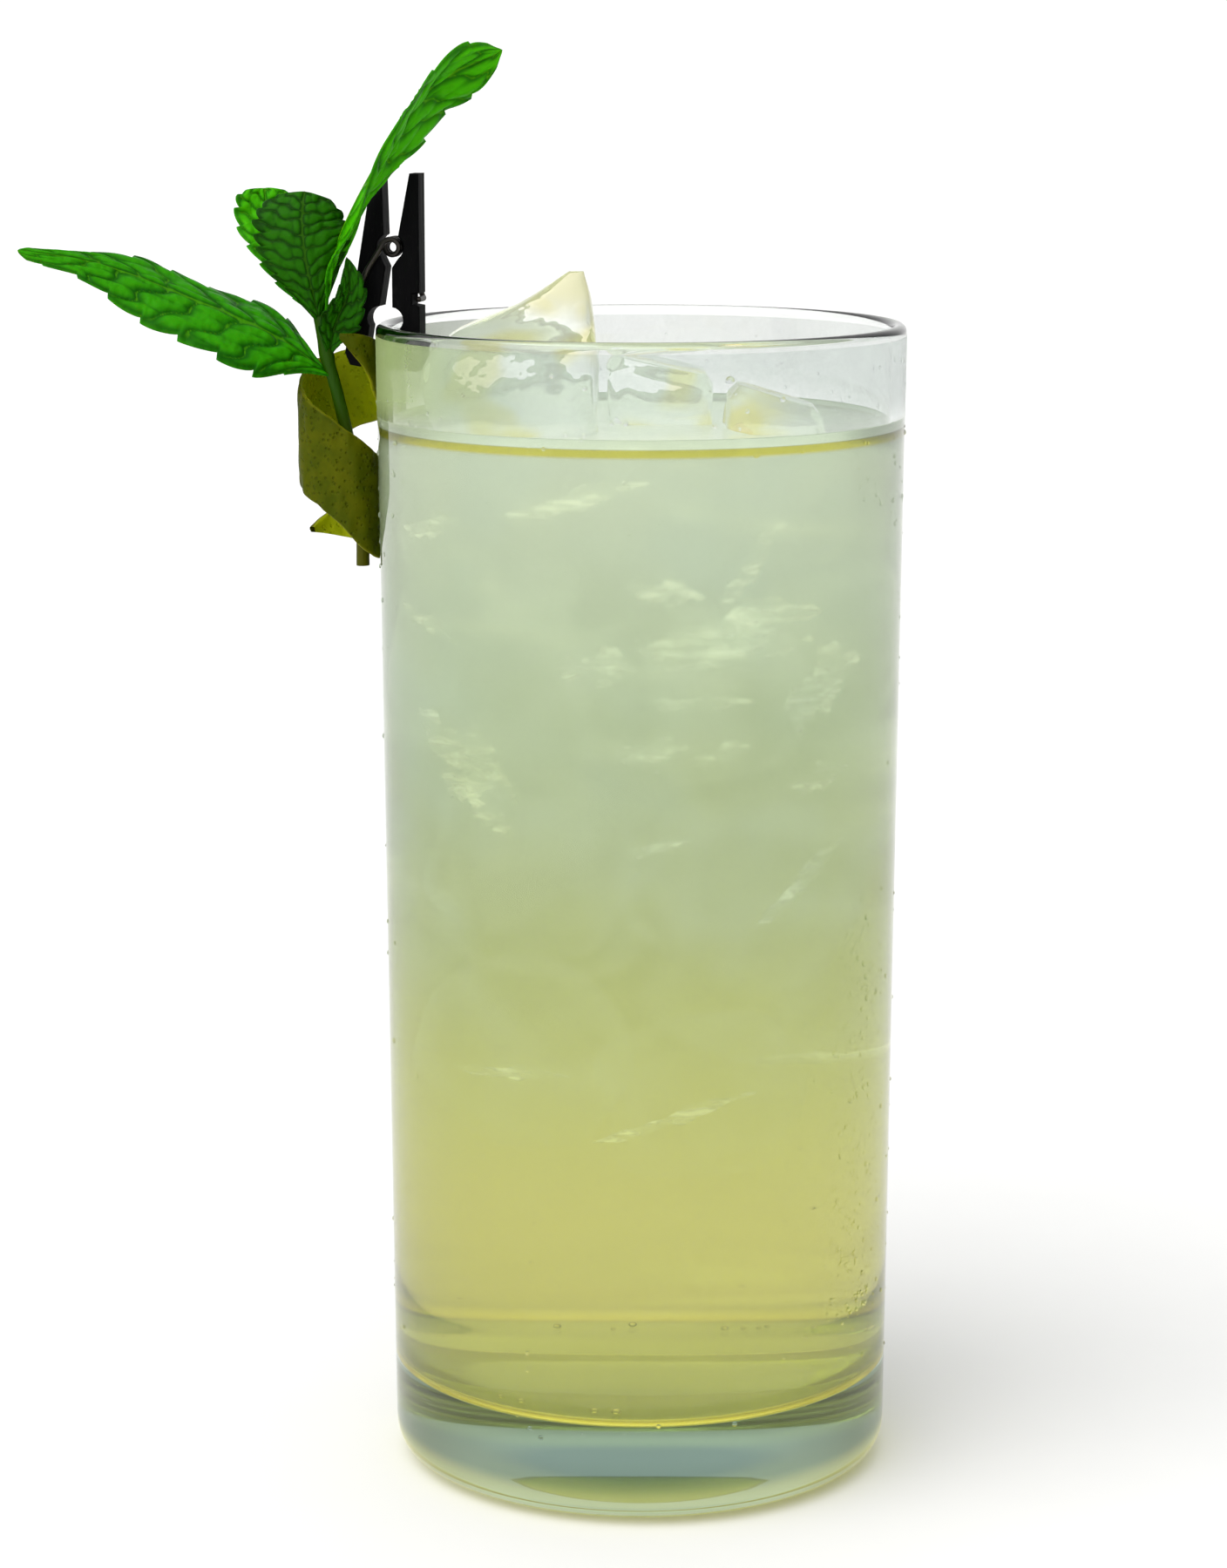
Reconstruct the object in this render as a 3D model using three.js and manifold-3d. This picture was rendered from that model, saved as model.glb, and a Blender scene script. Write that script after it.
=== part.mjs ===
// Iced lime soda in a straight highball glass. A small black peg on the rim holds a twist of
// lime peel and a mint sprig. Millimetres, +Z up, origin at the centre of the glass's foot;
// the front looks along +Y. Each mesh is one solid, kept a little clear of its neighbours.
import * as THREE from "three";
import { mergeVertices } from "three/addons/utils/BufferGeometryUtils.js";
import Module from "manifold-3d";

const wasm = await Module();
wasm.setup();

// Driving dimensions
const GAP = 0.35; // air left between neighbouring pieces

const GLASS_HEIGHT = 148;
const RIM_RADIUS = 33.5;
const FOOT_RADIUS = 32.2; // where the wall's slope would meet the table
const WALL = 1.9;
const FLOOR_HEIGHT = 12; // thickness of the solid base
const FOOT_FILLET = 4.5;
const FLOOR_FILLET = 5;
const GLASS_SIDES = 56;
const DRINK_LEVEL = 135.3;

const PEG_AZIMUTH = THREE.MathUtils.degToRad(168); // where on the rim the peg sits
const PEG_PIVOT_RADIUS = 32.3;
const PEG_PIVOT_HEIGHT = 157.1;
const PEG_WIDTH = 3.3;
const PEG_SPREAD = THREE.MathUtils.degToRad(9.5); // tilt of the outer arm
const ARM_TOP = 9.3; // above the pivot
const ARM_BOTTOM = -15.7;
const ARM_BACK = 3.8; // from the peg's middle plane to an arm's outer face
const ARM_HANDLE_TIP = 2.6;
const ARM_HANDLE_ROOT = 1.05;
const ARM_FULCRUM = 0.2;
const ARM_JAW = 1.15;
const COIL_RECESS = 1.75;
const RIM_HOLE_RADIUS = 1.6;
const RIM_HOLE_HEIGHT = -9.2;
const NOTCH_HEIGHT = -6.6;
const NOTCH_DEPTH = 0.95;
const NOTCH_HALF = 0.8;
const WIRE_RADIUS = 0.3;
const COIL_RADIUS = 1.1;
const COIL_TURNS = 2.5;
const COIL_HALF_LENGTH = 1.0;

const PEEL_AXIS_RADIUS = 39.35; // axis of the twist, from the glass's axis
const PEEL_RADIUS = 5.0;
const PEEL_THICKNESS = 0.9;
const PEEL_SQUARENESS = 2.6; // above 2 the coil's plan is a rounded square
const PEEL_START = -76; // degrees round the coil, 0 on the glass side, 90 at the back
const PEEL_END = 512;

const STEM_RADIUS = 0.82;
const LEAF_THICKNESS = 0.5;

// Value at x on a smooth line through rows of [x, value, value...].
function along(rows, x, column = 1) {
  let i = 0;
  while (i < rows.length - 2 && x > rows[i + 1][0]) i++;
  const [a, b] = [rows[i], rows[i + 1]];
  const t = THREE.MathUtils.clamp((x - a[0]) / (b[0] - a[0]), 0, 1);
  const slope = (k) => {
    const before = rows[Math.max(k - 1, 0)];
    const after = rows[Math.min(k + 1, rows.length - 1)];
    return (after[column] - before[column]) / (after[0] - before[0]);
  };
  const span = b[0] - a[0];
  const start = a[column] * (1 + 2 * t) * (1 - t) ** 2;
  const end = b[column] * t * t * (3 - 2 * t);
  const bend = slope(i) * t * (1 - t) ** 2 - slope(i + 1) * t * t * (1 - t);
  return start + end + span * bend;
}

// Moves every vertex of a geometry to where place() puts it.
function warp(geometry, place) {
  const position = geometry.getAttribute("position");
  const v = new THREE.Vector3();
  for (let i = 0; i < position.count; i++) {
    v.fromBufferAttribute(position, i);
    const p = place(v);
    position.setXYZ(i, p.x, p.y, p.z);
  }
  return geometry;
}

// A geometry as a solid for the booleans, and back again.
function solid(geometry) {
  const bare = new THREE.BufferGeometry();
  const flat = geometry.index ? geometry.toNonIndexed() : geometry;
  bare.setAttribute("position", flat.getAttribute("position"));
  const merged = mergeVertices(bare, 1e-3);
  return new wasm.Manifold(
    new wasm.Mesh({
      numProp: 3,
      vertProperties: new Float32Array(merged.getAttribute("position").array),
      triVerts: new Uint32Array(merged.index.array),
    }),
  );
}

function geometryOf(body) {
  const mesh = body.getMesh();
  const geometry = new THREE.BufferGeometry();
  geometry.setAttribute("position", new THREE.BufferAttribute(mesh.vertProperties, 3));
  geometry.setIndex(new THREE.BufferAttribute(mesh.triVerts, 1));
  geometry.computeVertexNormals();
  return geometry;
}

// Turns a profile of (radius, height) round the Z axis.
function turned(path, divisions, sides) {
  return new THREE.LatheGeometry(path.getPoints(divisions), sides).rotateX(Math.PI / 2);
}

const outerRadius = (z) => THREE.MathUtils.lerp(FOOT_RADIUS, RIM_RADIUS, z / GLASS_HEIGHT);
const innerRadius = (z) => outerRadius(z) - WALL;

// Glass: a wall of even thickness on a thick clear base, with a rounded lip.
function glassGeometry() {
  const lip = WALL / 2;
  const lipHeight = GLASS_HEIGHT - lip;
  const floorCorner = innerRadius(FLOOR_HEIGHT);
  const path = new THREE.Path();
  path.moveTo(0, 0);
  path.lineTo(FOOT_RADIUS - FOOT_FILLET, 0);
  path.quadraticCurveTo(FOOT_RADIUS, 0, outerRadius(FOOT_FILLET), FOOT_FILLET);
  path.lineTo(outerRadius(lipHeight), lipHeight);
  path.absarc(outerRadius(lipHeight) - lip, lipHeight, lip, 0, Math.PI, false);
  path.lineTo(innerRadius(FLOOR_HEIGHT + FLOOR_FILLET), FLOOR_HEIGHT + FLOOR_FILLET);
  path.quadraticCurveTo(floorCorner, FLOOR_HEIGHT, floorCorner - FLOOR_FILLET, FLOOR_HEIGHT);
  path.lineTo(0, FLOOR_HEIGHT);
  return turned(path, 5, GLASS_SIDES);
}

// Ice: a block whose plan is a rounded rectangle at every height, dented as it melted.
// Each row of levels is [height, left, right, front, back].
function iceGeometry({ levels, squareness, rise, dent, sides, rings }, grow = 0) {
  const low = levels[0][0] - grow;
  const high = levels[levels.length - 1][0] + grow;
  const block = new THREE.CylinderGeometry(1, 1, 1, sides, rings).rotateX(Math.PI / 2);
  return warp(block, (v) => {
    const t = v.z + 0.5;
    const z = THREE.MathUtils.lerp(low, high, t);
    const [left, right, front, back] = [1, 2, 3, 4].map((c) => along(levels, z, c));
    const reach = Math.hypot(v.x, v.y);
    const angle = Math.atan2(v.y, v.x);
    const power = 2 / squareness;
    const cos = Math.sign(Math.cos(angle)) * Math.abs(Math.cos(angle)) ** power;
    const sin = Math.sign(Math.sin(angle)) * Math.abs(Math.sin(angle)) ** power;
    const melt = 1 + dent * Math.sin(3 * angle + z * 0.21) * Math.cos(z * 0.33 + angle);
    const x = (left + right) / 2 + reach * cos * (((right - left) / 2) * melt + grow);
    const y = (front + back) / 2 + reach * sin * (((back - front) / 2) * melt + grow);
    return new THREE.Vector3(x, y, z + rise * (x - (left + right) / 2) * t * t);
  });
}

const ICE_PEAK = {
  levels: [
    [112, -21, -9, -13, 0],
    [115, -25, -6.2, -17, 1],
    [134, -26.2, -5.6, -17.5, 0.5],
    [143, -26.2, -5.6, -16.5, -1],
    [148, -24.4, -5.9, -14.5, -3.5],
    [151.3, -16.8, -6.3, -11.5, -5.2],
    [154.9, -9.0, -7.2, -8.9, -7.3],
  ],
  squareness: 3.2,
  rise: 0,
  dent: 0.035,
  sides: 22,
  rings: 12,
};
const ICE_SLAB = {
  levels: [
    [116, -0.5, 6, 2, 12],
    [118.5, -3.6, 8.6, -1.8, 15],
    [130, -4.3, 9.2, -2.4, 15.6],
    [140.6, -4.3, 9.2, -2.2, 15.2],
    [142.6, -3.2, 8.2, -1.2, 14],
  ],
  squareness: 5,
  rise: -0.22,
  dent: 0.03,
  sides: 20,
  rings: 8,
};
const ICE_CHIP = {
  levels: [
    [119, 13, 19.5, -11.5, -5],
    [121.5, 10.7, 22, -14.6, -2.6],
    [130, 10.3, 22.7, -15.2, -2.2],
    [138, 10.6, 22.4, -14.4, -2.6],
    [139.8, 12.0, 21.2, -12.8, -4],
  ],
  squareness: 4,
  rise: -0.3,
  dent: 0.04,
  sides: 18,
  rings: 8,
};

// Drink: fills the glass up to its level and is cut round the ice that stands out of it.
function drinkGeometry() {
  const bottom = FLOOR_HEIGHT + GAP;
  const corner = innerRadius(bottom) - GAP;
  const path = new THREE.Path();
  path.moveTo(0, bottom);
  path.lineTo(corner - FLOOR_FILLET, bottom);
  path.quadraticCurveTo(corner, bottom, innerRadius(bottom + FLOOR_FILLET) - GAP, bottom + FLOOR_FILLET);
  path.lineTo(innerRadius(DRINK_LEVEL) - GAP, DRINK_LEVEL);
  path.lineTo(0, DRINK_LEVEL);
  let body = solid(turned(path, 4, GLASS_SIDES));
  for (const ice of [ICE_PEAK, ICE_SLAB, ICE_CHIP]) body = body.subtract(solid(iceGeometry(ice, GAP)));
  return geometryOf(body);
}

// Peg arm: drawn in the plane of the peg, x away from its middle plane and y up from the pivot.
// side is -1 for the arm inside the glass and 1 for the one outside.
function armGeometry(side) {
  const recessEdge = Math.sqrt(COIL_RECESS ** 2 - ARM_HANDLE_ROOT ** 2);
  const holeTop = Math.sqrt(RIM_HOLE_RADIUS ** 2 - ARM_FULCRUM ** 2);
  const holeFoot = Math.sqrt(RIM_HOLE_RADIUS ** 2 - ARM_JAW ** 2);
  const outline = [];
  const point = (x, y) => outline.push(new THREE.Vector2(side * x, y));
  const arc = (centre, radius, from, to, steps) => {
    for (let i = 0; i <= steps; i++) {
      const angle = THREE.MathUtils.lerp(from, to, i / steps);
      point(radius * Math.cos(angle), centre + radius * Math.sin(angle));
    }
  };
  point(ARM_BACK, ARM_TOP);
  point(ARM_HANDLE_TIP, ARM_TOP);
  const recess = Math.atan2(recessEdge, ARM_HANDLE_ROOT);
  arc(0, COIL_RECESS, recess, -recess, 8);
  point(ARM_FULCRUM, -recessEdge - 1.2);
  const upper = Math.atan2(holeTop, ARM_FULCRUM);
  const lower = Math.atan2(holeFoot, ARM_JAW);
  arc(RIM_HOLE_HEIGHT, RIM_HOLE_RADIUS, upper, -lower, 8);
  point(ARM_JAW, ARM_BOTTOM + 0.5);
  point(ARM_JAW + 0.4, ARM_BOTTOM);
  point(ARM_BACK - 0.9, ARM_BOTTOM);
  point(ARM_BACK, ARM_BOTTOM + 1.4);
  point(ARM_BACK, NOTCH_HEIGHT - NOTCH_HALF);
  point(ARM_BACK - NOTCH_DEPTH, NOTCH_HEIGHT - NOTCH_HALF * 0.8);
  point(ARM_BACK - NOTCH_DEPTH, NOTCH_HEIGHT + NOTCH_HALF * 0.8);
  point(ARM_BACK, NOTCH_HEIGHT + NOTCH_HALF);
  const bevel = 0.18;
  const arm = new THREE.ExtrudeGeometry(new THREE.Shape(outline), {
    depth: PEG_WIDTH - 2 * bevel,
    bevelEnabled: true,
    bevelThickness: bevel,
    bevelSize: bevel,
    bevelOffset: -bevel,
    bevelSegments: 1,
  });
  return arm.translate(0, 0, bevel - PEG_WIDTH / 2).rotateX(Math.PI / 2);
}

// Peg spring: a coil on the pivot, with a leg down one side of each arm into its notch.
function springGeometry() {
  const sideways = PEG_WIDTH / 2 + GAP + WIRE_RADIUS;
  const seat = ARM_BACK - NOTCH_DEPTH + GAP + WIRE_RADIUS;
  const turn = (x, z, angle) => [
    x * Math.cos(angle) - z * Math.sin(angle),
    x * Math.sin(angle) + z * Math.cos(angle),
  ];
  // A leg from its hook in the notch to the coil; end is the side that it runs down.
  const leg = (arm, end) => {
    const tilt = arm > 0 ? PEG_SPREAD : 0;
    const at = (x, y, z) => {
      const [px, pz] = turn(arm * x, z, tilt);
      return new THREE.Vector3(px, end * y, pz);
    };
    return [
      at(seat, -0.9, NOTCH_HEIGHT),
      at(seat, sideways - 0.7, NOTCH_HEIGHT),
      at(seat - 0.15, sideways - 0.1, NOTCH_HEIGHT + 0.1),
      at(seat - 0.8, sideways, NOTCH_HEIGHT + 0.9),
      at(2.3, sideways, -3.2),
    ];
  };
  // The coil is tight in the middle and its ends step out to the sides of the peg.
  const half = COIL_HALF_LENGTH;
  const spread = [[0, -sideways], [0.14, -half], [0.86, half], [1, sideways]];
  const coil = [];
  const steps = COIL_TURNS * 10;
  for (let i = 0; i <= steps; i++) {
    const angle = Math.PI * 2 * COIL_TURNS * (i / steps);
    const y = along(spread, i / steps);
    coil.push(new THREE.Vector3(-COIL_RADIUS * Math.cos(angle), y, COIL_RADIUS * Math.sin(angle)));
  }
  const path = [...leg(-1, -1), ...coil, ...leg(1, 1).reverse()];
  const wire = new THREE.Shape();
  wire.absarc(0, 0, WIRE_RADIUS, 0, Math.PI * 2, false);
  return new THREE.ExtrudeGeometry(wire, {
    steps: 76,
    curveSegments: 3,
    bevelEnabled: false,
    extrudePath: new THREE.CatmullRomCurve3(path, false, "centripetal"),
  });
}

// Lime peel: a strip wound round the stem. Rows are [degrees, middle height, half height].
const PEEL_BAND = [
  [PEEL_START, 146.0, 0.35],
  [-45, 144.2, 2.0],
  [0, 140.6, 4.3],
  [90, 138.4, 5.2],
  [180, 134.4, 6.6],
  [270, 129.2, 6.3],
  [330, 124.6, 7.0],
  [400, 122.6, 4.8],
  [450, 121.8, 3.0],
  [PEEL_END, 120.2, 0.35],
];

function peelGeometry() {
  const strip = new THREE.BoxGeometry(1, 1, 1, 60, 3, 1);
  return warp(strip, (v) => {
    const degrees = THREE.MathUtils.lerp(PEEL_START, PEEL_END, v.x + 0.5);
    const angle = THREE.MathUtils.degToRad(degrees);
    const cos = Math.cos(angle);
    const sin = Math.sin(angle);
    const square = Math.abs(cos) ** PEEL_SQUARENESS + Math.abs(sin) ** PEEL_SQUARENESS;
    const plan = square ** (-1 / PEEL_SQUARENESS);
    const loose = along([[PEEL_START, 0], [0, 0], [360, 0.0], [PEEL_END, 0.3]], degrees);
    const radius = PEEL_RADIUS * plan + loose + v.z * PEEL_THICKNESS;
    const height = along(PEEL_BAND, degrees, 1) + 2 * v.y * along(PEEL_BAND, degrees, 2);
    return new THREE.Vector3(-radius * cos, -radius * sin, height);
  });
}

// Mint leaf: a thin wavy blade on a curved midrib, with toothed edges.
// u runs from 0 at the stalk to 1 at the tip, and side from -1 to 1 across the blade.
function leafGeometry(leaf) {
  const { base, through, tip, facing, width, shape, fold, twist, wave, teeth, curl } = leaf;
  const rib = new THREE.CatmullRomCurve3([base, ...through, tip].map((p) => new THREE.Vector3(...p)));
  const look = new THREE.Vector3(...facing);
  const blade = new THREE.BoxGeometry(1, 2, 1, 24, 4, 1);
  return warp(blade, (v) => {
    const u = v.x + 0.5;
    const side = v.y;
    const tangent = rib.getTangent(u);
    const up = look.clone().addScaledVector(tangent, -look.dot(tangent)).normalize();
    up.applyAxisAngle(tangent, along(twist, u));
    const across = up.clone().cross(tangent);
    const tooth = 1 + 0.09 * (((u * teeth + 0.5) % 1) - 0.5) * Math.min(1, 4 * u);
    const half = (width / 2) * along(shape, u) * tooth;
    const ruffle = wave * side * side * Math.sin(u * teeth * 1.7 + side * 2);
    const lift = Math.abs(side) * half * Math.sin(fold) - curl * side * side * half + ruffle;
    return rib
      .getPoint(u)
      .addScaledVector(across, side * half * Math.cos(fold))
      .addScaledVector(up, lift + v.z * LEAF_THICKNESS);
  });
}

const LANCE = [[0, 0.1], [0.12, 0.36], [0.3, 0.9], [0.45, 1], [0.7, 0.72], [0.9, 0.3], [1, 0.05]];
const SPOON = [[0, 0.1], [0.15, 0.4], [0.4, 0.86], [0.65, 1], [0.88, 0.84], [1, 0.45]];

const LEAVES = {
  left: {
    base: [-39.9, 5.8, 141.0],
    through: [[-47, 4.4, 146.2], [-58, 3.2, 151.2], [-68.5, 2.0, 155.2]],
    tip: [-78.5, 0, 157.0],
    facing: [0.25, -0.56, 0.78],
    width: 14.5,
    shape: [[0, 0.1], [0.1, 0.34], [0.25, 0.92], [0.38, 1], [0.62, 0.72], [0.85, 0.3], [1, 0.05]],
    fold: -0.2,
    twist: [[0, 0], [0.5, 0.05], [1, -0.15]],
    wave: 0.5,
    teeth: 9,
    curl: 0.05,
  },
  front: {
    base: [-41.1, 5.4, 148.2],
    through: [[-42.2, 3.2, 154.4], [-42.8, 3.0, 160.0]],
    tip: [-42.6, 5.0, 164.2],
    facing: [0.1, -0.97, 0.1],
    width: 11.6,
    shape: SPOON,
    fold: -0.12,
    twist: [[0, 0], [1, 0]],
    wave: 0.3,
    teeth: 8,
    curl: 0.12,
  },
  behind: {
    base: [-41.3, 6.4, 148.4],
    through: [[-44.6, 9.2, 154], [-47.6, 12, 160]],
    tip: [-48.6, 14, 164.2],
    facing: [0.3, -0.8, 0.5],
    width: 9.5,
    shape: SPOON,
    fold: 0.2,
    twist: [[0, 0], [1, 0]],
    wave: 0.3,
    teeth: 8,
    curl: 0,
  },
  tall: {
    base: [-40.7, 5.8, 147.8],
    through: [[-37.8, 3.4, 155.6], [-35.2, 1.4, 162.6], [-31.2, 0.8, 170.0], [-25.9, 1.2, 177.4]],
    tip: [-17.4, 2.4, 182.2],
    facing: [0.75, -0.55, -0.35],
    width: 11,
    shape: [[0, 0.1], [0.15, 0.3], [0.35, 0.45], [0.58, 0.84], [0.76, 1], [0.9, 0.78], [1, 0.06]],
    fold: 0.25,
    twist: [[0, 0.9], [0.35, 0.55], [0.7, 0], [1, -0.1]],
    wave: 0.4,
    teeth: 9,
    curl: 0,
  },
  small: {
    base: [-40.0, 5.6, 143.2],
    through: [[-39.0, 4.6, 147.4], [-37.2, 3.4, 151.6]],
    tip: [-37.3, 3.0, 156],
    facing: [0.35, -0.9, 0.1],
    width: 6.2,
    shape: LANCE,
    fold: 0.5,
    twist: [[0, 0], [1, 0.3]],
    wave: 0.2,
    teeth: 7,
    curl: 0,
  },
};

const STEM = [
  [-35.9, 6.6, 116.2],
  [-36.0, 6.5, 121],
  [-37.1, 6.3, 130],
  [-38.9, 5.9, 138.5],
  [-40.2, 5.7, 143.5],
  [-41.2, 5.7, 149],
];

// Mint sprig: the stem and its leaves, grown together.
function sprigGeometry() {
  const section = new THREE.Shape();
  section.absarc(0, 0, STEM_RADIUS, 0, Math.PI * 2, false);
  const stem = new THREE.ExtrudeGeometry(section, {
    steps: 14,
    curveSegments: 5,
    bevelEnabled: false,
    extrudePath: new THREE.CatmullRomCurve3(STEM.map((p) => new THREE.Vector3(...p))),
  });
  let body = solid(stem);
  for (const leaf of Object.values(LEAVES)) body = body.add(solid(leafGeometry(leaf)));
  return geometryOf(body);
}

const CLEAR_GLASS = { color: 0xd9e6e2, roughness: 0.04, metalness: 0, transparent: true, opacity: 0.35 };
const CLOUDY_LIME = { color: 0xb9c288, roughness: 0.12, metalness: 0 };
const CLEAR_ICE = { color: 0xdfe9e2, roughness: 0.08, metalness: 0, transparent: true, opacity: 0.7 };
const BLACK_PAINT = { color: 0x131315, roughness: 0.45, metalness: 0 };
const DARK_WIRE = { color: 0x3a3835, roughness: 0.4, metalness: 0.9 };
const LIME_ZEST = { color: 0x7f8a1c, roughness: 0.5, metalness: 0 };
const MINT_GREEN = { color: 0x1f7a18, roughness: 0.5, metalness: 0 };

function piece(name, geometry, look) {
  const mesh = new THREE.Mesh(geometry, new THREE.MeshStandardMaterial(look));
  mesh.name = name;
  return mesh;
}

const sodaGlass = new THREE.Group();
sodaGlass.add(piece("glass", glassGeometry(), CLEAR_GLASS));
sodaGlass.add(piece("drink", drinkGeometry(), CLOUDY_LIME));
sodaGlass.add(piece("ice_peak", iceGeometry(ICE_PEAK), CLEAR_ICE));
sodaGlass.add(piece("ice_slab", iceGeometry(ICE_SLAB), CLEAR_ICE));
sodaGlass.add(piece("ice_chip", iceGeometry(ICE_CHIP), CLEAR_ICE));

// The peg's own frame: X out of the glass, Y along the rim to the front, Z up, origin on the pivot.
const peg = new THREE.Group();
peg.rotation.z = PEG_AZIMUTH;
peg.position.set(
  PEG_PIVOT_RADIUS * Math.cos(PEG_AZIMUTH),
  PEG_PIVOT_RADIUS * Math.sin(PEG_AZIMUTH),
  PEG_PIVOT_HEIGHT,
);
const outerArm = piece("peg_arm_outer", armGeometry(1), BLACK_PAINT);
outerArm.rotation.y = -PEG_SPREAD;
peg.add(outerArm);
peg.add(piece("peg_arm_inner", armGeometry(-1), BLACK_PAINT));
peg.add(piece("peg_spring", springGeometry(), DARK_WIRE));
sodaGlass.add(peg);

// The twist's frame: X out of the glass from the coil's own axis.
const twist = new THREE.Group();
twist.rotation.z = PEG_AZIMUTH;
twist.position.set(PEEL_AXIS_RADIUS * Math.cos(PEG_AZIMUTH), PEEL_AXIS_RADIUS * Math.sin(PEG_AZIMUTH), 0);
twist.add(piece("lime_peel", peelGeometry(), LIME_ZEST));
sodaGlass.add(twist);

sodaGlass.add(piece("mint_sprig", sprigGeometry(), MINT_GREEN));

export default sodaGlass;
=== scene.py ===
# %% [markdown]
# # Iced lime soda in a highball glass
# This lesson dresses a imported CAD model. The frame holds the glass, the drink, three blocks
# of ice, a small peg, a twist of lime peel and a sprig of mint, all at their real size.
# Blender gives each of them its finish, and replaces the plain solids by finer surfaces
# that sit in the same place.

import math

import bmesh
import bpy
import numpy as np
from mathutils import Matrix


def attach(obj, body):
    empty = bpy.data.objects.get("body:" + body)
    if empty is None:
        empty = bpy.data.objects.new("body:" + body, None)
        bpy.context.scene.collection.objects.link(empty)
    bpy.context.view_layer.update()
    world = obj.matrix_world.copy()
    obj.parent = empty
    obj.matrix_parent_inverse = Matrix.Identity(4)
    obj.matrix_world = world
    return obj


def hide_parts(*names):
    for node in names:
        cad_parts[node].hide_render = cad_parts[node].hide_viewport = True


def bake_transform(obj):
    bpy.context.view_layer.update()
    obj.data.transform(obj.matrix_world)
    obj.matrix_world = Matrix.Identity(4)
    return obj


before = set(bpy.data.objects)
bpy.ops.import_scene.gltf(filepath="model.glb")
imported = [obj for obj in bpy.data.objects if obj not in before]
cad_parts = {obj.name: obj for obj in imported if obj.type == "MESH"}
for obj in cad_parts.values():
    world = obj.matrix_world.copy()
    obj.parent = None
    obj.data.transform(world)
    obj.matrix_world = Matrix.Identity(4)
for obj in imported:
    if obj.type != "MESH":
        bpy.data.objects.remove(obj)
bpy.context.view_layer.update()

# %% [markdown]
# ## Surfaces from arrays
# Every new piece is a grid of points worked out as one numpy array, in millimetres, with
# a quad between each four neighbours. A grid can close on itself in either direction, and
# rows that shrink to one point are welded into a pole.

# %% Grid helpers
MM = 0.001
WELD = 2e-6


def quads(rows, columns, wrap_rows=False, wrap_columns=False):
    """Corner numbers of the quads of a rows x columns grid; wrap joins last line to first."""
    number = np.arange(rows * columns).reshape(rows, columns)
    if wrap_rows:
        number = np.vstack([number, number[:1]])
    if wrap_columns:
        number = np.hstack([number, number[:, :1]])
    corners = [number[:-1, :-1], number[:-1, 1:], number[1:, 1:], number[1:, :-1]]
    return np.stack(corners, axis=-1).reshape(-1, 4)


def copies(points, faces):
    """Faces of many like grids: points is (copies, rows, columns, 3), numbers run on."""
    size = points.shape[1] * points.shape[2]
    start = size * np.arange(points.shape[0])
    return (faces[None] + start[:, None, None]).reshape(-1, 4)


def skin(points):
    """Quads of one grid, or of many like grids, whose columns close into rings."""
    faces = quads(*points.shape[-3:-1], wrap_columns=True)
    return copies(points, faces) if points.ndim == 4 else faces


# %% Mesh pieces
def make_piece(name, points, finish, body="glass", marks=None, faces=None):
    """A smooth mesh object from points in millimetres; marks are values kept at each point."""
    mesh = bpy.data.meshes.new(name)
    flat = np.asarray(points, dtype=np.float32).reshape(-1, 3) * MM
    corner = np.asarray(skin(points) if faces is None else faces, dtype=np.int32).ravel()
    mesh.vertices.add(len(flat))
    mesh.vertices.foreach_set("co", flat.ravel())
    mesh.loops.add(len(corner))
    mesh.loops.foreach_set("vertex_index", corner)
    mesh.polygons.add(len(corner) // 4)
    mesh.polygons.foreach_set("loop_start", np.arange(0, len(corner), 4, dtype=np.int32))
    mesh.update(calc_edges=True)
    for mark, values in (marks or {}).items():
        attribute = mesh.attributes.new(mark, "FLOAT", "POINT")
        attribute.data.foreach_set("value", np.asarray(values, np.float32).ravel())
    work = bmesh.new()
    work.from_mesh(mesh)
    bmesh.ops.remove_doubles(work, verts=work.verts, dist=WELD)
    bmesh.ops.recalc_face_normals(work, faces=work.faces)
    work.to_mesh(mesh)
    work.free()
    mesh.polygons.foreach_set("use_smooth", np.ones(len(mesh.polygons), dtype=bool))
    mesh.materials.append(finish)
    piece = bpy.data.objects.new(name, mesh)
    bpy.context.scene.collection.objects.link(piece)
    if body:
        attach(piece, body)
    print(name, len(mesh.vertices), "points", len(mesh.polygons), "faces")
    return piece


# %% Points and rings
def joined(*coordinates):
    """Points from arrays of coordinates, each spread to the shape that they share."""
    return np.stack(np.broadcast_arrays(*coordinates), axis=-1)


def around(count):
    """Angles of so many even steps round a circle."""
    return np.linspace(0, 2 * np.pi, count, endpoint=False)


def turned(profile, sides):
    """Revolves (radius, height) rows about Z: x = r cos a, y = r sin a, z = height."""
    angle = around(sides)
    radius, height = profile[:, :1], profile[:, 1:]
    return joined(radius * np.cos(angle), radius * np.sin(angle), height)


# %% [markdown]
# ## Shader maths
# A finish is easier to read as a formula than as a web of nodes. `Wire` wraps a socket, so
# that `1 - mask * 0.5` adds the Math nodes by itself, and `Finish.add` makes any other node.

# %% Values in a shader
class Wire:
    """A value in a node tree. Python operators on it add Math nodes."""

    def __init__(self, finish, socket):
        self.finish = finish
        self.socket = socket

    def math(self, operation, first, second=0.0):
        """A Math node on one or two values."""
        return self.finish.add("ShaderNodeMath", {"operation": operation}, {0: first, 1: second})

    def __add__(self, other):
        return self.math("ADD", self, other)

    def __radd__(self, other):
        return self.math("ADD", other, self)

    def __sub__(self, other):
        return self.math("SUBTRACT", self, other)

    def __rsub__(self, other):
        return self.math("SUBTRACT", other, self)

    def __mul__(self, other):
        return self.math("MULTIPLY", self, other)

    def __rmul__(self, other):
        return self.math("MULTIPLY", other, self)

    def __abs__(self):
        return self.math("ABSOLUTE", self)


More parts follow.
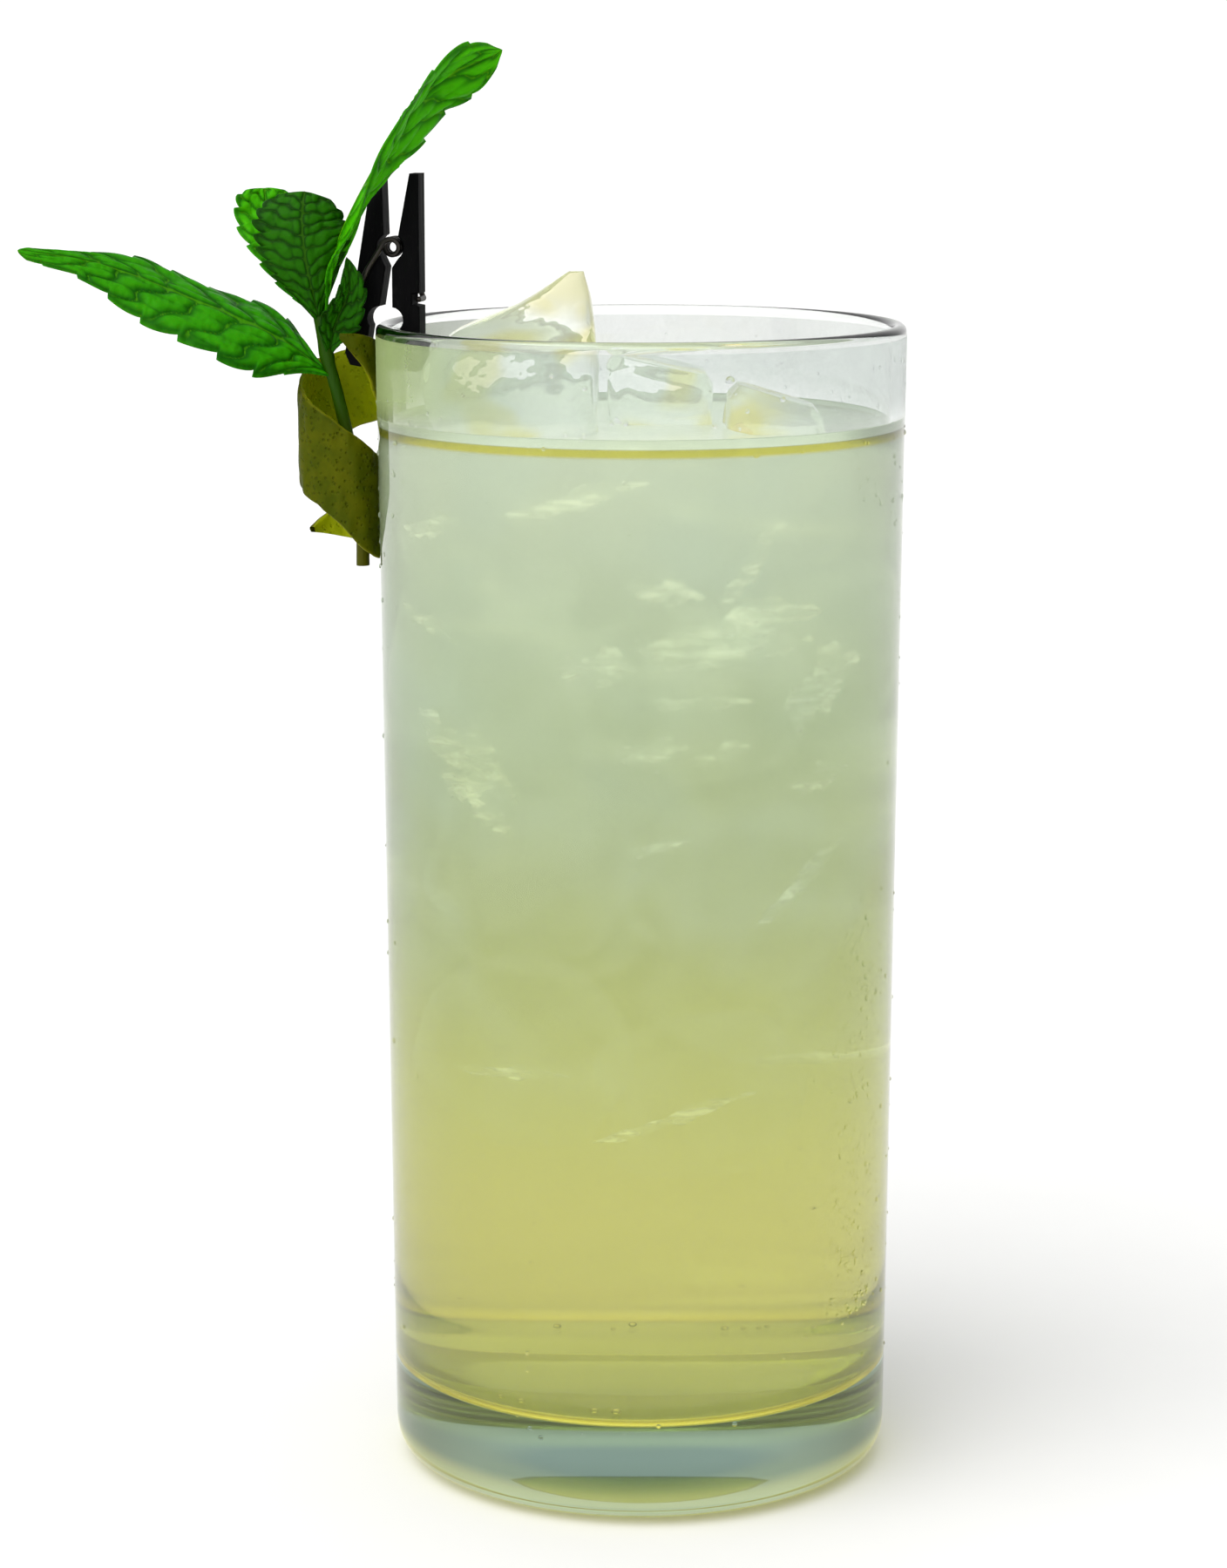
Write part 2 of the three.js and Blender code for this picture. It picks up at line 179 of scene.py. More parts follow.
# %% Node trees
class Finish:
    """A node tree under construction: a material's by default, or the world's."""

    def __init__(self, name, tree=None):
        if tree is None:
            self.material = bpy.data.materials.new(name)
            self.material.use_nodes = True
            tree = self.material.node_tree
        self.tree = tree
        self.tree.nodes.clear()

    def add(self, kind, settings=None, inputs=None, out=0):
        """Any node: its settings are set first, then its sockets are filled or linked."""
        node = self.tree.nodes.new(kind)
        for key, value in (settings or {}).items():
            if key == "stops":
                self.stops(node.color_ramp, value)
            else:
                setattr(node, key, value)
        for key, value in (inputs or {}).items():
            if isinstance(value, Wire):
                self.tree.links.new(value.socket, node.inputs[key])
            else:
                node.inputs[key].default_value = value
        return Wire(self, node.outputs[out])

    def stops(self, ramp, stops):
        """Fills a colour ramp from (place, colour) pairs."""
        while len(ramp.elements) < len(stops):
            ramp.elements.new(1.0)
        for element, (place, colour) in zip(ramp.elements, stops):
            element.position = place
            element.color = (*colour, 1.0)

    def place(self):
        """The point on the object, in metres."""
        return self.add("ShaderNodeTexCoord", out=3)

    def axis(self, vector, name):
        """One coordinate of a vector, X, Y or Z."""
        return self.add("ShaderNodeSeparateXYZ", None, {0: vector}, out="XYZ".index(name))

    def length(self, vector):
        """How far a point lies from the origin."""
        return self.add("ShaderNodeVectorMath", {"operation": "LENGTH"}, {0: vector}, out=1)

    def mark(self, name):
        """A value that the mesh keeps at each point."""
        return self.add("ShaderNodeAttribute", {"attribute_name": name}, out=2)

    def scaled(self, vector, by):
        """A vector with each coordinate multiplied by its own number."""
        return self.add("ShaderNodeVectorMath", {"operation": "MULTIPLY"}, {0: vector, 1: by})

    def noise(self, vector, scale, detail=3.0, rough=0.5):
        """Soft noise about 0.5; scale is its waves in one unit of the vector."""
        settings = {"noise_dimensions": "3D"}
        inputs = {"Vector": vector, "Scale": scale, "Detail": detail, "Roughness": rough}
        return self.add("ShaderNodeTexNoise", settings, inputs)

    def ramp(self, factor, low, high):
        """A smooth step: 0 below low, 1 above high."""
        settings = {"interpolation_type": "SMOOTHSTEP"}
        inputs = {"Value": factor, "From Min": low, "From Max": high}
        return self.add("ShaderNodeMapRange", settings, inputs)

    def blend(self, factor, first, second):
        """Colour mix: first where factor is 0, second where it is 1."""
        def colour(c):
            return c if isinstance(c, Wire) else (*c, 1.0)
        inputs = {0: factor, 6: colour(first), 7: colour(second)}
        return self.add("ShaderNodeMix", {"data_type": "RGBA"}, inputs, out=2)

    def bump(self, height, distance, strength=1.0):
        """A normal that leans as if height, times the distance in metres, were relief."""
        inputs = {"Height": height, "Distance": distance, "Strength": strength}
        return self.add("ShaderNodeBump", None, inputs)

    def surface(self, **inputs):
        """Ends the tree in a Principled shader; names use _ for the spaces of the sockets."""
        named = {key.replace("_", " "): value for key, value in inputs.items()}
        shader = self.add("ShaderNodeBsdfPrincipled", {"distribution": "GGX"}, named)
        output = self.tree.nodes.new("ShaderNodeOutputMaterial")
        self.tree.links.new(shader.socket, output.inputs["Surface"])
        self.material.cycles.emission_sampling = "NONE"
        print("finish", self.material.name)
        return self.material

    def absorb(self, colour, density):
        """Fills the body with a plain tint that deepens with thickness."""
        inputs = {"Color": (*colour, 1.0), "Density": density}
        volume = self.add("ShaderNodeVolumeAbsorption", None, inputs)
        output = next(n for n in self.tree.nodes if n.type == "OUTPUT_MATERIAL")
        self.tree.links.new(volume.socket, output.inputs["Volume"])


# %% Screen colours
def srgb(r, g, b):
    """A colour as a screen shows it, 0 to 255, in the linear values that shaders use."""
    c = np.array([r, g, b]) / 255.0
    linear = np.where(c <= 0.04045, c / 12.92, ((c + 0.055) / 1.055) ** 2.4)
    return tuple(float(v) for v in linear)


# %% [markdown]
# ## Camera
# The photo was taken from half a metre away with a longish lens, a little above the rim.
# The lens, the pitch and the place were solved from the rim's ellipse and the foot.

# %% Camera
CAMERA_PLACE = (-3.5, -500.0, 184.9)
CAMERA_PITCH = 10.9
FOCAL_PIXELS = 4527.0
PHOTO_HEIGHT = 1800.0
SENSOR = 36.0

camera = bpy.data.objects.new("camera", bpy.data.cameras.new("camera"))
camera.data.sensor_width = SENSOR
camera.data.lens = FOCAL_PIXELS * SENSOR / PHOTO_HEIGHT
camera.data.clip_start = 0.01
camera.data.clip_end = 100.0
camera.location = [v * MM for v in CAMERA_PLACE]
camera.rotation_euler = (math.radians(90 - CAMERA_PITCH), 0, 0)
bpy.context.scene.collection.objects.link(camera)
bpy.context.scene.camera = camera
print("lens", round(camera.data.lens, 2), "mm")

# %% [markdown]
# ## Stage and light
# Clear glass shows whatever surrounds it, so the stage is part of the look. The floor is plain
# and pale. Under the foot it glows a little yellow, as it does where a drink gathers light.
# The light is a pale sky, dimmer at the sides so that the glass's edges show, with one broad
# bright patch at the upper left in front.

# %% Floor
FLOOR_DROP = -0.0004
FLOOR_HALF = 20.0
FOOT_LIGHT = (0.8, 0.72, 0.34)
FOOT_LIGHT_REACH = (0.018, 0.027)

floor_finish = Finish("pale_floor")
spot = floor_finish.place()
from_axis = floor_finish.length(spot)
speckle = floor_finish.noise(spot, 60.0)
pale = floor_finish.blend(speckle, (0.93, 0.93, 0.93), (0.95, 0.95, 0.95))
past_foot = floor_finish.ramp(from_axis, *FOOT_LIGHT_REACH)
gathered = floor_finish.blend(past_foot, FOOT_LIGHT, (0, 0, 0))
floor_material = floor_finish.surface(
    Base_Color=pale, Roughness=0.8, Specular_IOR_Level=0.1,
    Emission_Color=gathered, Emission_Strength=1.0)
floor_mesh = bpy.data.meshes.new("floor")
floor_corners = [(sx * FLOOR_HALF, sy * FLOOR_HALF, FLOOR_DROP)
                 for sx, sy in ((-1, -1), (1, -1), (1, 1), (-1, 1))]
floor_mesh.from_pydata(floor_corners, [], [(0, 1, 2, 3)])
floor_mesh.materials.append(floor_material)
floor = bpy.data.objects.new("floor", floor_mesh)
bpy.context.scene.collection.objects.link(floor)
print("floor", 2 * FLOOR_HALF, "m wide")

# %% Sky
KEY_DIRECTION = (-0.50, -0.52, 0.69)
KEY_SPREAD = (0.7, 0.97)
SIDES_SPREAD = (0.4, 0.8)
SIDES_TOP = (0.3, 0.8)
BEHIND_SPREAD = (0.8, 0.95)
BEHIND_TOP = (0.45, 0.75)
SKY_PLAIN = (0.80, 0.80, 0.80)
SKY_SIDES = (0.38, 0.41, 0.40)
SKY_BEHIND = (1.06, 1.06, 1.06)
SKY_KEY = (3.1, 3.06, 3.0)

world = bpy.data.worlds.new("studio")
bpy.context.scene.world = world
world.use_nodes = True
sky = Finish("studio", world.node_tree)
toward = sky.add("ShaderNodeTexCoord", out=0)
height = sky.axis(toward, "Z")
dim = sky.ramp(abs(sky.axis(toward, "X")), *SIDES_SPREAD) * (1 - sky.ramp(height, *SIDES_TOP))
near_key = sky.add("ShaderNodeVectorMath", {"operation": "DOT_PRODUCT"},
                   {0: toward, 1: KEY_DIRECTION}, out=1)
sky_colour = sky.blend(dim, SKY_PLAIN, SKY_SIDES)
behind = sky.ramp(sky.axis(toward, "Y"), *BEHIND_SPREAD) * (1 - sky.ramp(height, *BEHIND_TOP))
sky_colour = sky.blend(behind, sky_colour, SKY_BEHIND)
sky_colour = sky.blend(sky.ramp(near_key, *KEY_SPREAD), sky_colour, SKY_KEY)
sky_light = sky.add("ShaderNodeBackground", None, {"Color": sky_colour, "Strength": 1.0})
sky_out = sky.tree.nodes.new("ShaderNodeOutputWorld")
sky.tree.links.new(sky_light.socket, sky_out.inputs["Surface"])
bpy.context.scene.view_settings.view_transform = "Standard"
print("sky made")

# %% [markdown]
# ## The glass
# A highball is blown or pressed with a wall of even thickness on a heavy clear base. One
# profile goes round the outside, over the rounded lip and down the inside, so turning it
# makes a closed wall. The CAD solid has flat sides that would show in the refraction, so a
# finer turned surface replaces it. The tint is a volume, because it is deepest in the base.
# Light that the drink gathers ends in the foot and the heel. A renderer finds little of it, so
# a weak glow on both stands for it, the same all round.

# %% Glass shape
GLASS_HEIGHT = 148.0
RIM_RADIUS = 33.5
FOOT_RADIUS = 32.2
WALL = 1.9
FLOOR_HEIGHT = 12.0
FOOT_FILLET = 4.5
FLOOR_FILLET = 5.0
PUNT = 0.9
GLASS_SIDES = 192
CURVE_ROWS = 14
WALL_ROWS = 24
FLAT_ROWS = 10


def outer_radius(z):
    """Outside of the wall: a straight line from the foot's radius to the rim's."""
    return FOOT_RADIUS + (RIM_RADIUS - FOOT_RADIUS) * np.asarray(z) / GLASS_HEIGHT


def inner_radius(z):
    """Inside of the wall, an even thickness from the outside."""
    return outer_radius(z) - WALL


def bend(start, corner, end, count):
    """Quadratic curve from start to end, pulled towards corner: the fillets of the CAD."""
    t = np.linspace(0, 1, count)[:, None]
    pulled = 2 * t * (1 - t) * np.array(corner)
    return (1 - t) ** 2 * np.array(start) + pulled + t ** 2 * np.array(end)


def rise(low, high, radius, count):
    """Straight wall between two heights, its radius from a function."""
    z = np.linspace(low, high, count)
    return joined(radius(z), z)


def glass_profile():
    """Foot with a shallow hollow, fillet, wall, round lip, inner wall, fillet and floor."""
    lip = WALL / 2
    top = GLASS_HEIGHT - lip
    r = np.linspace(0, FOOT_RADIUS - FOOT_FILLET - 1.5, CURVE_ROWS)
    foot = joined(r, PUNT * (1 - (r / r[-1]) ** 2) ** 2)
    ring = np.array([[FOOT_RADIUS - FOOT_FILLET - 0.5, 0.0]])
    heel = bend((FOOT_RADIUS - FOOT_FILLET, 0), (FOOT_RADIUS, 0),
                (float(outer_radius(FOOT_FILLET)), FOOT_FILLET), CURVE_ROWS)
    wall = rise(FOOT_FILLET + 1, top - 0.5, outer_radius, WALL_ROWS)
    angle = np.linspace(0, np.pi, 17)
    centre = float(outer_radius(top)) - lip
    rim = joined(centre + lip * np.cos(angle), top + lip * np.sin(angle))
    inside = rise(top - 0.5, FLOOR_HEIGHT + FLOOR_FILLET + 1, inner_radius, WALL_ROWS)
    corner = float(inner_radius(FLOOR_HEIGHT))
    bowl = bend((float(inner_radius(FLOOR_HEIGHT + FLOOR_FILLET)), FLOOR_HEIGHT + FLOOR_FILLET),
                (corner, FLOOR_HEIGHT), (corner - FLOOR_FILLET, FLOOR_HEIGHT), CURVE_ROWS)
    r = np.linspace(corner - FLOOR_FILLET - 1, 0, FLAT_ROWS)
    floor_rows = joined(r, FLOOR_HEIGHT)
    return np.concatenate([foot, ring, heel, wall, rim, inside, bowl, floor_rows])


glass_points = turned(glass_profile(), GLASS_SIDES)
print("glass surface", glass_points.shape)

# %% Glass finish
HEEL_GLOW = (0.19, 0.17, 0.045)
HEEL_RADIUS = (0.0272, 0.0285)
HEEL_TOP = (0.003, 0.0055)
FOOT_GLOW = (0.12, 0.11, 0.03)
FOOT_TOP = (0.0012, 0.002)
FOOT_HOLLOW = (0.008, 0.014)
GLASS_TINT = (0.0, 0.25, 0.14)
GLASS_DENSITY = 25.0

glass_finish = Finish("clear_glass")
spot = glass_finish.place()
haze = glass_finish.noise(spot, 45.0, 2.0)
up = glass_finish.axis(spot, "Z")
from_axis = glass_finish.length(glass_finish.scaled(spot, (1.0, 1.0, 0.0)))
heel = glass_finish.ramp(from_axis, *HEEL_RADIUS) * (1 - glass_finish.ramp(up, *HEEL_TOP))
under = (1 - glass_finish.ramp(up, *FOOT_TOP)) * glass_finish.ramp(from_axis, *FOOT_HOLLOW)
caught = glass_finish.blend(under, (0, 0, 0), FOOT_GLOW)
caught = glass_finish.blend(heel, caught, HEEL_GLOW)
glass_rough = glass_finish.ramp(haze, 0.45, 0.8) * 0.03
glass_material = glass_finish.surface(
    Base_Color=(1.0, 1.0, 1.0, 1.0), Roughness=glass_rough, IOR=1.5, Transmission_Weight=1.0,
    Emission_Color=caught, Emission_Strength=1.0)
glass_finish.absorb(GLASS_TINT, GLASS_DENSITY)

glass = make_piece("glass_body", glass_points, glass_material)
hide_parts("glass")

# %% [markdown]
# ## The drink
# Lime soda is a tinted, nearly clear liquid: yellow at the bottom, and paler and hazier where
# the ice melts into it. Haze is light scattered in the depth, which is slow to render, so the
# surface carries the tint and a blur by height instead, and still lets light through: the far
# edge of the glass's floor shows. The piece reaches a hair into the wall, so that
# no air shows between, and its edge climbs the glass as a meniscus. A thin yellow ring lies
# just under the level. The underside and the bend above it glow a little, for gathered light.

# %% Drink shape
DRINK_LEVEL = 135.3
SINK_IN = 0.25
MENISCUS = 1.1
MENISCUS_REACH = 1.5


def drink_profile():
    """Floor, fillet and wall just inside the glass, then the level with its raised edge."""
    low = FLOOR_HEIGHT - SINK_IN
    corner = float(inner_radius(low)) + SINK_IN
    r = np.linspace(0, corner - FLOOR_FILLET - 0.5, FLAT_ROWS)
    base = joined(r, low)
    bend_end = (float(inner_radius(low + FLOOR_FILLET)) + SINK_IN, low + FLOOR_FILLET)
    bowl = bend((corner - FLOOR_FILLET, low), (corner, low), bend_end, CURVE_ROWS)
    wall = rise(low + FLOOR_FILLET + 1, DRINK_LEVEL + MENISCUS,
                lambda z: inner_radius(z) + SINK_IN, 30)
    edge = float(inner_radius(DRINK_LEVEL)) + SINK_IN
    r = edge - np.concatenate([np.linspace(0.05, 5, 24), np.linspace(6, edge, 12)])
    level = DRINK_LEVEL + MENISCUS * np.exp(-(edge - r) / MENISCUS_REACH)
    return np.concatenate([base, bowl, wall, joined(r, level)])


drink_points = turned(drink_profile(), GLASS_SIDES)
print("drink surface", drink_points.shape)

# %% Drink finish
DRINK_TONES = [
    (0.00, srgb(232, 226, 116)),
    (0.22, srgb(220, 216, 116)),
    (0.38, srgb(201, 206, 116)),
    (0.55, srgb(184, 195, 125)),
    (0.75, srgb(189, 205, 162)),
    (1.00, srgb(216, 227, 198)),
]
# these three are emission: painted light glowing on the underside, the bend above it and the level
UNDERSIDE_GLOW = srgb(66, 78, 58)
BEND_GLOW = srgb(124, 112, 26)
LEVEL_GLOW = (0.2, 0.22, 0.18)
RING_TINT = srgb(222, 206, 40)
THAW_TINT = srgb(200, 219, 200)
# zones by height, as fractions of the level
RING_FOOT = (0.9895, 0.9935)
RING_TOP = (0.9985, 1.0)
LEVEL_ZONE = (0.9994, 0.9999)
# zones by millimetres over the glass's floor
FLOOR_ZONE = (-0.15, 0.1)
EDGE_FOOT = (0.0, 0.3)
EDGE_TOP = (0.4, 1.8)

drink_finish = Finish("cloudy_lime")
spot = drink_finish.place()
height = drink_finish.axis(spot, "Z") * (1000.0 / DRINK_LEVEL)
cloud = drink_finish.noise(spot, 28.0, 2.0)
drink_tone = drink_finish.add("ShaderNodeValToRGB", {"stops": DRINK_TONES},
                              {0: height + (cloud - 0.5) * 0.1})
thaw = drink_finish.ramp(drink_finish.noise(spot, 40.0, 2.0), 0.46, 0.68)
thaw = thaw * drink_finish.ramp(height, 0.35, 0.6)
drink_tone = drink_finish.blend(thaw * 0.4, drink_tone, THAW_TINT)
ring = drink_finish.ramp(height, *RING_FOOT) * (1 - drink_finish.ramp(height, *RING_TOP))
drink_colour = drink_finish.blend(ring, drink_tone, RING_TINT)
drink_blur = 0.02 + drink_finish.ramp(height, 0.2, 0.7) * 0.22
bend_height = drink_finish.axis(spot, "Z") * 1000.0 - FLOOR_HEIGHT
edge = drink_finish.ramp(bend_height, *EDGE_FOOT) * (1 - drink_finish.ramp(bend_height, *EDGE_TOP))
# painted light: the underside, the bend above it and the level glow
glow = drink_finish.blend(drink_finish.ramp(bend_height, *FLOOR_ZONE), UNDERSIDE_GLOW, (0, 0, 0))
glow = drink_finish.blend(edge, glow, BEND_GLOW)
glow = drink_finish.blend(drink_finish.ramp(height, *LEVEL_ZONE), glow, LEVEL_GLOW)
drink_material = drink_finish.surface(
    Base_Color=drink_colour, Roughness=drink_blur, IOR=1.33, Transmission_Weight=0.85,
    Emission_Color=glow, Emission_Strength=1.0)

drink = make_piece("drink_body", drink_points, drink_material)
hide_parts("drink")

# %% [markdown]
# ## Ice that stands out
# Three blocks stand out of the drink: a tall wedge with a sharp peak, a slab behind it and
# a small chip. They have melted, so the plan is a rounded rectangle at every height and
# shallow dents run round it. The shapes repeat the CAD's named levels on a finer grid.

# %% Standing ice shape
def through(rows, x, column=1):
    """Smooth line through rows of [x, value...]: a cubic on each span, its end slopes taken
    from the neighbouring rows."""
    table = np.asarray(rows, float)
    at, value = table[:, 0], table[:, column]
    low = np.maximum(np.arange(len(at)) - 1, 0)
    high = np.minimum(np.arange(len(at)) + 1, len(at) - 1)
    slope = (value[high] - value[low]) / (at[high] - at[low])
    i = np.clip(np.searchsorted(at, x) - 1, 0, len(at) - 2)
    span = at[i + 1] - at[i]
    t = np.clip((x - at[i]) / span, 0, 1)
    ends = value[i] * (1 + 2 * t) * (1 - t) ** 2 + value[i + 1] * t * t * (3 - 2 * t)
    return ends + span * (slope[i] * t * (1 - t) ** 2 - slope[i + 1] * t * t * (1 - t))


def soft(wave, power):
    """A wave with its sign kept and its size raised to a power; below 1 squares it off."""
    return np.sign(wave) * np.abs(wave) ** power


def ice_points(levels, squareness, slant, dent, low, high, rows=72, columns=96):
    """Plan at height z: centre + half sizes times (|cos|, |sin|) to the power 2 / squareness,
    scaled by waves in angle and height; the top leans by slant, and both ends draw in."""
    table = np.asarray(levels, float)
    cap = np.linspace(0, 1, 8)[:-1]
    reach = np.concatenate([cap, np.ones(rows), cap[::-1]])[:, None]
    z = np.concatenate([low + 0 * cap, np.linspace(low, high, rows), high + 0 * cap])[:, None]
    t = (z - table[0, 0]) / (table[-1, 0] - table[0, 0])
    angle = around(columns)[None]
    left, right, front, back = (through(levels, z, c) for c in (1, 2, 3, 4))
    power = 2 / squareness
    cos = soft(np.cos(angle), power)
    sin = soft(np.sin(angle), power)
    melt = 1 + dent * np.sin(3 * angle + z * 0.21) * np.cos(z * 0.33 + angle)
    melt = melt + 0.35 * dent * np.sin(7 * angle - z * 0.5) + 0.2 * dent * np.sin(11 * angle + z * 0.9)
    x = (left + right) / 2 + reach * cos * (right - left) / 2 * melt
    y = (front + back) / 2 + reach * sin * (back - front) / 2 * melt
    lean = slant * (x - (left + right) / 2) * t * t
    return joined(x, y, z + lean)


# %% Standing ice sizes
ICE = {
    "ice_peak": ([[112, -21, -9, -13, 0], [115, -25, -6.2, -17, 1], [134, -26.2, -5.6, -17.5, 0.5],
                  [143, -26.2, -5.6, -16.5, -1], [147.4, -23.4, -5.9, -14.5, -3.5],
                  [151.3, -14.6, -6.3, -11.5, -5.2], [154.9, -9.0, -7.2, -8.9, -7.3]], 3.2, 0, 0.035),
    "ice_slab": ([[116, -0.5, 6, 2, 12], [118.5, -3.6, 8.6, -1.8, 15], [130, -4.3, 9.2, -2.4, 15.6],
                  [140.6, -4.3, 9.2, -2.2, 15.2], [142.6, -3.2, 8.2, -1.2, 14]], 5, -0.22, 0.03),
    "ice_chip": ([[119, 13, 19.5, -11.5, -5], [121.5, 10.7, 22, -14.6, -2.6],
                  [130, 10.3, 22.7, -15.2, -2.2], [138, 10.6, 22.4, -14.4, -2.6],
                  [139.8, 12.0, 21.2, -12.8, -4]], 4, -0.3, 0.04),
}
ICE_WATERLINE = DRINK_LEVEL - 0.5
for name, block in ICE.items():
    print(name, "stands", round(block[0][-1][0] - DRINK_LEVEL, 1), "mm out of the drink")

# %% Ice finishes
ice_finish = Finish("clear_ice")
spot = ice_finish.place()
frost = ice_finish.noise(spot, 160.0, 4.0)
ripple = ice_finish.noise(spot, 320.0, 2.0)
ice_rough = 0.01 + ice_finish.ramp(frost, 0.45, 0.75) * 0.12
# painted reflection: amber patches and an amber band at the crest stand for the yellow drink seen in
# the ice
painted_amber_reflection = ice_finish.ramp(ice_finish.noise(spot, 120.0, 1.0), 0.5, 0.62)
painted_amber_reflection = painted_amber_reflection.math("MAXIMUM", painted_amber_reflection, ice_finish.ramp(ice_finish.axis(spot, "Z"), 0.148, 0.152) * 0.6)
ice_tint_and_glow = ice_finish.blend(painted_amber_reflection * 0.8, srgb(250, 252, 250), srgb(246, 234, 146))
# the ice's colour also glows faintly, as painted light
ice_material = ice_finish.surface(
    Base_Color=ice_tint_and_glow, Roughness=ice_rough, IOR=1.2, Transmission_Weight=0.9,
    Normal=ice_finish.bump(ripple, 0.0002), Emission_Color=ice_tint_and_glow, Emission_Strength=0.04)

veil_finish = Finish("sunk_ice")
spot = veil_finish.place()
mist = veil_finish.noise(spot, 90.0, 1.0)
veil_tint_and_glow = veil_finish.blend(mist, srgb(226, 234, 214), srgb(244, 246, 236))
shallow = veil_finish.ramp(veil_finish.axis(spot, "Z"), 0.03, 0.1) * 0.6 + 0.4
veil_depth = (0.04 + veil_finish.ramp(mist, 0.42, 0.7) * 0.22) * shallow
# the veil colour glows as painted light, so the sunk ice looks paler
veil_material = veil_finish.surface(
    Base_Color=veil_tint_and_glow, Roughness=0.6, Alpha=veil_depth,
    Emission_Color=veil_tint_and_glow, Emission_Strength=0.55)

# %% Standing ice pieces
for name, (levels, squareness, slant, dent) in ICE.items():
    for part, low, high, finish in (
            ("_melted", ICE_WATERLINE, levels[-1][0], ice_material),
            ("_sunk", levels[0][0], ICE_WATERLINE - 0.2, veil_material)):
        points = ice_points(levels, squareness, slant, dent, low, high)
        block = make_piece(name + part, points, finish)
        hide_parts(name)

# %% [markdown]
# ## Ice that is sunk
# Cubes lie wholly under the surface. Ice in water hardly bends light, so only the air trapped
# in it shows, as pale veils and bright cracks. The cubes could be solid bodies with an index of
# their own, but that takes many more bounces for little to see, so they are see-through skins.

# %% Sunk ice
SUNK = np.array([
    # x, y, z, half size, turn about X, turn about Z
    [-17.0, -9.0, 106.0, 10.5, 0.4, 0.5],
    [5.0, -13.0, 103.0, 11.0, -0.3, 0.9],
    [20.0, -3.0, 108.0, 8.5, 0.7, 0.2],
    [-12.0, -13.0, 82.0, 10.5, 0.3, 0.3],
    [12.0, -11.0, 78.0, 11.0, 0.6, 0.7],
    [20.0, 6.0, 88.0, 8.0, 0.2, 0.1],
    [-13.0, -10.0, 57.0, 10.5, 0.5, 0.8],
    [7.0, -12.0, 52.0, 10.0, -0.4, 0.4],
    [-11.0, 14.0, 100.0, 9.5, 0.3, 0.6],
    [-8.0, 13.0, 74.0, 9.5, 0.6, 0.2],
    [12.0, 12.0, 62.0, 9.5, 0.4, 0.9],
])


def cube_points(rows=40, columns=56, power=0.6):
    """Rounded cube of half size 1: a sphere whose sines and cosines are raised to a power."""
    lat = np.linspace(-np.pi / 2, np.pi / 2, rows)[:, None]
    lon = around(columns)[None]
    wide = soft(np.cos(lat), power)
    return joined(wide * soft(np.cos(lon), power), wide * soft(np.sin(lon), power),
                  soft(np.sin(lat), power))


def turns(about_x, about_z):
    """Rotation matrices, first about X and then about Z, one for each pair of angles."""
    cx, sx, cz, sz = np.cos(about_x), np.sin(about_x), np.cos(about_z), np.sin(about_z)
    zero = 0 * cx
    rows = [[cz, -sz * cx, sz * sx], [sz, cz * cx, -cz * sx], [zero, sx, cx]]
    return np.moveaxis(np.array(rows), -1, 0)


cube = cube_points()
cube = cube * (1 + 0.07 * np.sin(4 * cube[..., :1] + 3 * cube[..., 1:2]) * np.cos(5 * cube[..., 2:]))
sunk_points = np.einsum("kij,rcj->krci", turns(SUNK[:, 4], SUNK[:, 5]), cube)
sunk_points = sunk_points * SUNK[:, 3][:, None, None, None] + SUNK[:, None, None, :3]

sunk = make_piece("ice_sunk", sunk_points, veil_material)

# %% [markdown]
# ## Cracks
# Ice that is dropped into a drink splits, and the air in a split shines. A crack is a bent lens,
# broken up by a streaky see-through finish. The front ones follow the photo. Nothing is known of
# the back, so every second one is repeated there, turned half round and a little lower.

# %% Cracks in the ice
FRONT_CRACKS = np.array([
    # x, y, z, length, breadth, turn about X, turn about Z, slope of its length
    [2.5, -22.0, 117.0, 9.0, 3.2, 0.5, 0.1, -0.35],
    [9.5, -21.0, 113.0, 13.0, 3.4, 0.7, 0.0, 0.15],
    [13.0, -20.0, 109.5, 15.0, 3.6, 0.8, 0.1, 0.08],
    [12.0, -20.0, 120.0, 9.0, 4.0, 0.3, 0.3, 1.0],
    [6.5, -22.5, 103.5, 13.0, 2.2, 0.6, 0.0, -0.08],
    [-24.5, -13.5, 112.0, 9.0, 2.0, 0.4, -0.5, -0.6],
    [-19.5, -18.5, 92.0, 9.0, 4.5, 0.4, -0.3, -0.6],
    [-17.0, -19.5, 88.5, 7.0, 3.4, 0.2, -0.2, -1.1],
    [20.0, -17.0, 93.0, 9.0, 3.4, 0.7, 0.5, 0.06],
    [18.0, -18.0, 80.0, 14.0, 2.4, 0.5, 0.4, 0.75],
    [2.0, -22.0, 85.5, 8.0, 1.8, 0.5, 0.1, 0.1],
    [-15.0, -19.0, 56.0, 15.0, 1.6, 0.4, -0.2, -0.06],
    [4.0, -22.0, 51.0, 20.0, 1.8, 0.4, 0.0, 0.3],
    [-8.0, -21.0, 128.0, 18.0, 3.0, 0.5, -0.1, 0.22],
    [-24.0, -14.0, 124.0, 9.0, 3.0, 0.5, -0.5, 0.0],
    [-20.0, -17.5, 96.0, 15.0, 6.5, 0.3, -0.4, -0.9],
    [10.0, -20.0, 111.5, 22.0, 7.0, 0.6, 0.05, 0.12],
    [-5.0, -22.0, 107.5, 10.0, 5.0, 0.4, -0.1, -0.3],
    [20.0, -16.0, 104.5, 12.0, 7.0, 0.4, 0.5, 0.3],
    [1.0, -22.5, 97.5, 9.0, 3.0, 0.5, 0.0, -0.05],
    [9.0, -21.5, 97.0, 7.0, 2.4, 0.5, 0.1, 0.05],
])
BACK_SHIFT = -6.0
